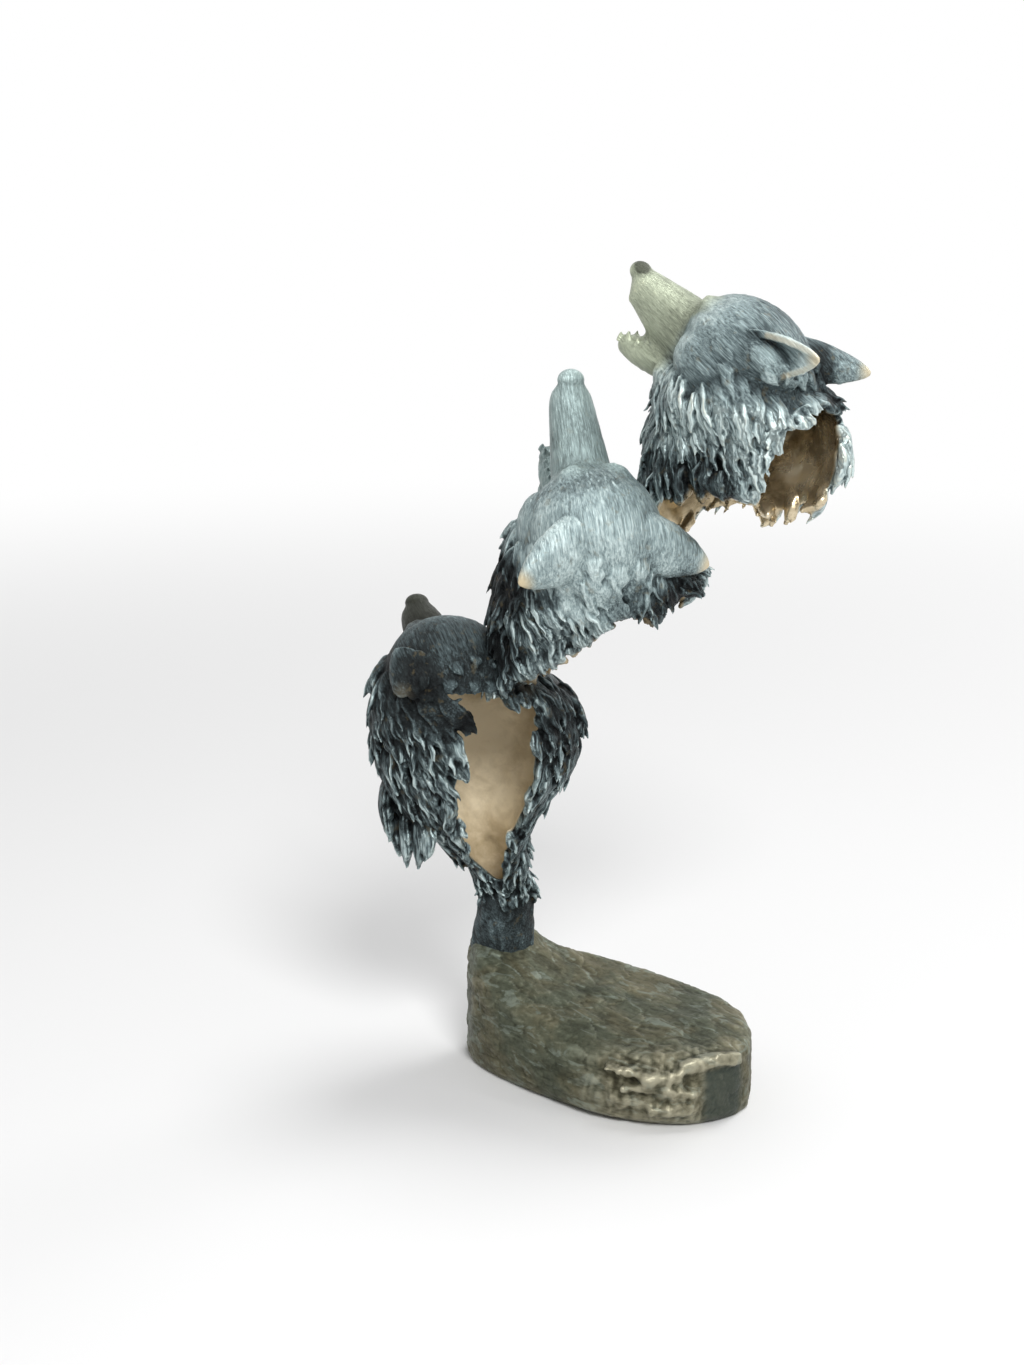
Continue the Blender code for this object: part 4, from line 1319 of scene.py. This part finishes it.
def wolf_bronze(name, muzzle, muzzle_share, fur_light, dome_light, tips, raw_light, raw_metal, raw_rough):
    """Dark patina on the fur with painted shade in its crevices and painted highlight on its ridges, raw
    metal inside with painted shadow and highlight in spots, and the muzzle's own tint.
    """
    paint = Paint(bpy.data.materials.new(name))
    flow, head = paint.attribute("flow", "Vector"), paint.attribute("head", "Vector")
    place = paint.place()
    relief, form = paint.attribute("relief"), paint.attribute("form")
    inner, dome = paint.attribute("inner"), paint.attribute("dome")
    bare, painted_light_and_dark_bronze = paint.attribute("bare"), paint.attribute("painted_light_and_dark_bronze")
    hair = paint.noise(paint.scaled(flow, (0.08, 1.0, 1.0)), 1.0, 2.0, 0.6)
    strand = paint.noise(paint.scaled(flow, (0.05, 0.42, 1.0)), 1.0, 2.0, 0.5, 0.2)
    broad = paint.noise(place, 34.0, 3.0)
    ahead = paint.node("ShaderNodeSeparateXYZ", {0: head}).outputs[0]
    snout = paint.times(bare, paint.span(paint.add(ahead, paint.times(broad, 10.0)), 27.0, 39.0))
    close = paint.most(bare, dome)
    rough_hair = paint.span(close, 0.0, 1.0, 1.0, 0.30)
    combed_hair = paint.noise(paint.scaled(head, (0.09, 1.0, 1.0)), 1.0, 3.0, 0.65, 0.5)
    hair = paint.blend(close, hair, combed_hair)
    # Painted shade and highlight: darker in the crevices and in the valleys between locks, lighter on the
    # ridges, by relief and form
    tone = paint.add(paint.times(relief, 0.58), paint.swing(strand, 0.5))
    tone = paint.add(
        paint.times(tone, rough_hair),
        paint.times(form, 0.09),
        paint.swing(hair, paint.span(close, 0.0, 1.0, 1.2, 0.8)),
        # Only the darkening spots reach the fur: painted shade, darker patina and the dark nose
        paint.math("MINIMUM", painted_light_and_dark_bronze, 0.0),
        paint.swing(broad, 0.45),
        0.50 + fur_light,
        # Painted highlight on the middle bust's dome; the lower and upper domes, and the lower bust's stem,
        # are darkened
        paint.times(dome, dome_light),
    )
    fur = paint.ramp(tone, SHADED_TO_LIT_PATINA)
    fleck = paint.span(paint.noise(place, 210.0, 2.0), 0.60, 0.72)
    fur = paint.mix(paint.times(fleck, 0.30), fur, FLECK_BROWN)
    # Shaded and lit copies of the muzzle colour, which carry the painted shade and highlight of the tone
    # onto the muzzle
    dark, light = [c * 0.25 for c in muzzle], [min(0.85, c * 1.9) for c in muzzle]
    shade = paint.ramp(paint.add(tone, -fur_light), [(0.10, dark), (0.52, muzzle), (0.95, light)])
    fur = paint.mix(paint.times(snout, muzzle_share), fur, shade)
    tip = paint.times(paint.attribute("ear_tip"), tips)
    worn = paint.times(paint.span(tone, 0.98, 1.3), 0.3)
    fur = paint.mix(paint.most(tip, worn), fur, WORN_GOLD)
    stain = paint.noise(place, 55.0, 5.0, 0.62, 0.6)
    cast = paint.noise(place, 190.0, 4.0, 0.6)
    raw_tone = paint.add(paint.swing(stain, 0.7 + raw_metal), paint.swing(cast, 0.35))
    # The raw metal inside takes every spot, painted shadow and painted highlight, and is a little darker in
    # its valleys by form
    raw_tone = paint.add(raw_tone, paint.times(form, 0.05), raw_light, painted_light_and_dark_bronze)
    raw = paint.ramp(raw_tone, RAW_BRONZE)
    colour = paint.mix(inner, fur, raw)
    fine = paint.bump(paint.times(hair, paint.span(close, 0.0, 1.0, 1.0, 0.6)), 0.0012, 0.9)
    finer = paint.bump(paint.noise(place, 900.0, 2.0), 0.00012, 0.4, fine)
    lumps = paint.bump(paint.add(paint.times(cast, 0.3), stain), 0.0016, 0.5)
    mixed = paint.node("ShaderNodeMix", data_type="VECTOR")
    paint.put(mixed.inputs[0], inner)
    paint.put(mixed.inputs[4], finer)
    paint.put(mixed.inputs[5], lumps)
    inner_rough = paint.span(stain, 0.3, 0.7, raw_rough + 0.08, raw_rough - 0.06)
    outer_rough = paint.add(paint.span(tone, 0.2, 1.0, 0.50, 0.36), paint.times(dome, 0.12))
    return paint.coat(
        Base_Color=colour,
        Metallic=paint.blend(inner, 0.42, raw_metal),
        Roughness=paint.blend(inner, outer_rough, inner_rough),
        Specular_IOR_Level=GLOSS,
        Normal=mixed.outputs[1],
    )


def rock_bronze():
    """Olive and beige patina, paler on the flakes, and worn gold on its near end."""
    paint = Paint(bpy.data.materials.new("rock_bronze"))
    place = paint.place()
    relief, form = paint.attribute("relief"), paint.attribute("form")
    turned = paint.node("ShaderNodeVectorRotate", {0: place, 3: 0.64}, rotation_type="Z_AXIS").outputs[0]
    layers = paint.noise(paint.scaled(turned, (38.0, 95.0, 120.0)), 1.0, 4.0, 0.6, 0.8)
    flecks = paint.noise(paint.scaled(turned, (120.0, 260.0, 300.0)), 1.0, 3.0, 0.6, 0.4)
    patches = paint.noise(place, 26.0, 4.0, 0.6, 0.5)
    tone = paint.add(paint.times(relief, 0.55), paint.times(form, 0.10))
    tone = paint.add(tone, paint.swing(layers, 0.75), paint.swing(flecks, 0.45), 0.50)
    green, beige = paint.ramp(tone, ROCK_GREEN), paint.ramp(tone, ROCK_BEIGE)
    colour = paint.mix(paint.span(patches, 0.38, 0.62), green, beige)
    pale = paint.noise(paint.scaled(turned, (60.0, 130.0, 150.0)), 1.0, 3.0, 0.6, 0.9)
    pale = paint.times(paint.span(pale, 0.55, 0.63), paint.span(tone, 0.25, 0.7, 0.15, 0.6))
    colour = paint.mix(pale, colour, PALE_FLAKE)
    x, y, z = paint.node("ShaderNodeSeparateXYZ", {0: place}).outputs
    near = paint.span(paint.add(y, paint.times(patches, 0.03)), 0.0, -0.026)
    side = paint.span(paint.add(x, paint.times(patches, 0.05)), -0.030, 0.040, 0.15, 1.0)
    gold = paint.times(paint.times(near, side), paint.span(tone, 0.20, 0.95))
    colour = paint.mix(paint.times(gold, 0.72), colour, ROCK_GOLD)
    facet = paint.times(paint.span(x, 0.048, 0.054), paint.span(y, -0.020, -0.028))
    facet = paint.times(facet, paint.span(z, 0.034, 0.029))
    colour = paint.mix(paint.times(facet, 0.85), colour, FACET_GREEN)
    normal = paint.bump(layers, 0.0012, 0.6)
    normal = paint.bump(flecks, 0.0006, 0.8, normal)
    normal = paint.bump(paint.noise(place, 800.0, 2.0), 0.00015, 0.5, normal)
    rough = paint.span(tone, 0.2, 0.9, 0.60, 0.44)
    return paint.coat(
        Base_Color=colour, Metallic=0.5, Roughness=rough, Specular_IOR_Level=GLOSS, Normal=normal
    )


def add_piece(name, mesh, material):
    mesh.materials.clear()
    mesh.materials.append(material)
    mesh.shade_smooth()
    piece = linked(name, mesh)
    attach(piece, "root")
    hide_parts("howling_wolves")


def floor():
    """A large pale floor that turns into the white background with distance."""
    soup = Soup()
    soup.points = [Vector((FLOOR_RADIUS * x, FLOOR_RADIUS * y, 0.0)) for x, y in circle(64)]
    soup.faces = [tuple(range(64))]
    mesh = soup.mesh("floor")
    paint = Paint(bpy.data.materials.new("floor"))
    mesh.materials.append(paint.coat(Base_Color=FLOOR_COLOUR, Roughness=0.85, Specular_IOR_Level=0.1))
    away = paint.node("ShaderNodeVectorMath", {0: paint.place()}, operation="LENGTH").outputs["Value"]
    far = paint.times(paint.span(away, *FLOOR_FADE), paint.seen())
    glow = paint.node("ShaderNodeEmission", {"Color": WHITE, "Strength": 1.0}).outputs[0]
    mixed = paint.node("ShaderNodeMixShader", {0: far, 1: paint.shader.outputs[0], 2: glow}).outputs[0]
    paint.put(paint.tree.nodes["Material Output"].inputs["Surface"], mixed)
    linked("floor", mesh)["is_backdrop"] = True


def lamp(name, place, size, power):
    data = bpy.data.lights.new(name, "AREA")
    data.shape = "DISK"
    data.size = size
    data.energy = power
    made = linked(name, data)
    made.location = place
    made.rotation_euler = (Vector(LAMP_TARGET) - Vector(place)).to_track_quat("-Z", "Y").to_euler()


def world():
    """White for what looks past the object, and a plainer grey for the light that it gives."""
    paint = Paint(bpy.data.worlds.new("world"), "Background")
    level = paint.node("ShaderNodeMapRange", {0: paint.seen(), 3: WORLD_LIGHT, 4: 1.0}).outputs[0]
    bpy.context.scene.world = paint.coat(Color=WHITE, Strength=level)


def stage():
    data = bpy.data.cameras.new("camera")
    data.sensor_fit = "VERTICAL"
    data.sensor_height = SENSOR
    data.lens = LENS
    camera = linked("camera", data)
    camera.location = CAMERA_PLACE
    camera.rotation_euler = (math.radians(90 - CAMERA_DOWN), 0, 0)
    bpy.context.scene.camera = camera
    floor()
    world()
    for values in LAMPS:
        lamp(*values)
    bpy.context.scene.view_settings.view_transform = "Standard"


def main():
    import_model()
    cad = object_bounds()
    # Without this, noise_vector would take its offsets from the clock
    noise.seed_set(NOISE_SEED)
    stage()
    for wolf in WOLVES:
        material = wolf_bronze(wolf.name + "_bronze", *LOOKS[wolf.name])
        add_piece("wolf_" + wolf.name, bust(wolf), material)
    add_piece("rock", rock(), rock_bronze())
    return cad


start_box = main()
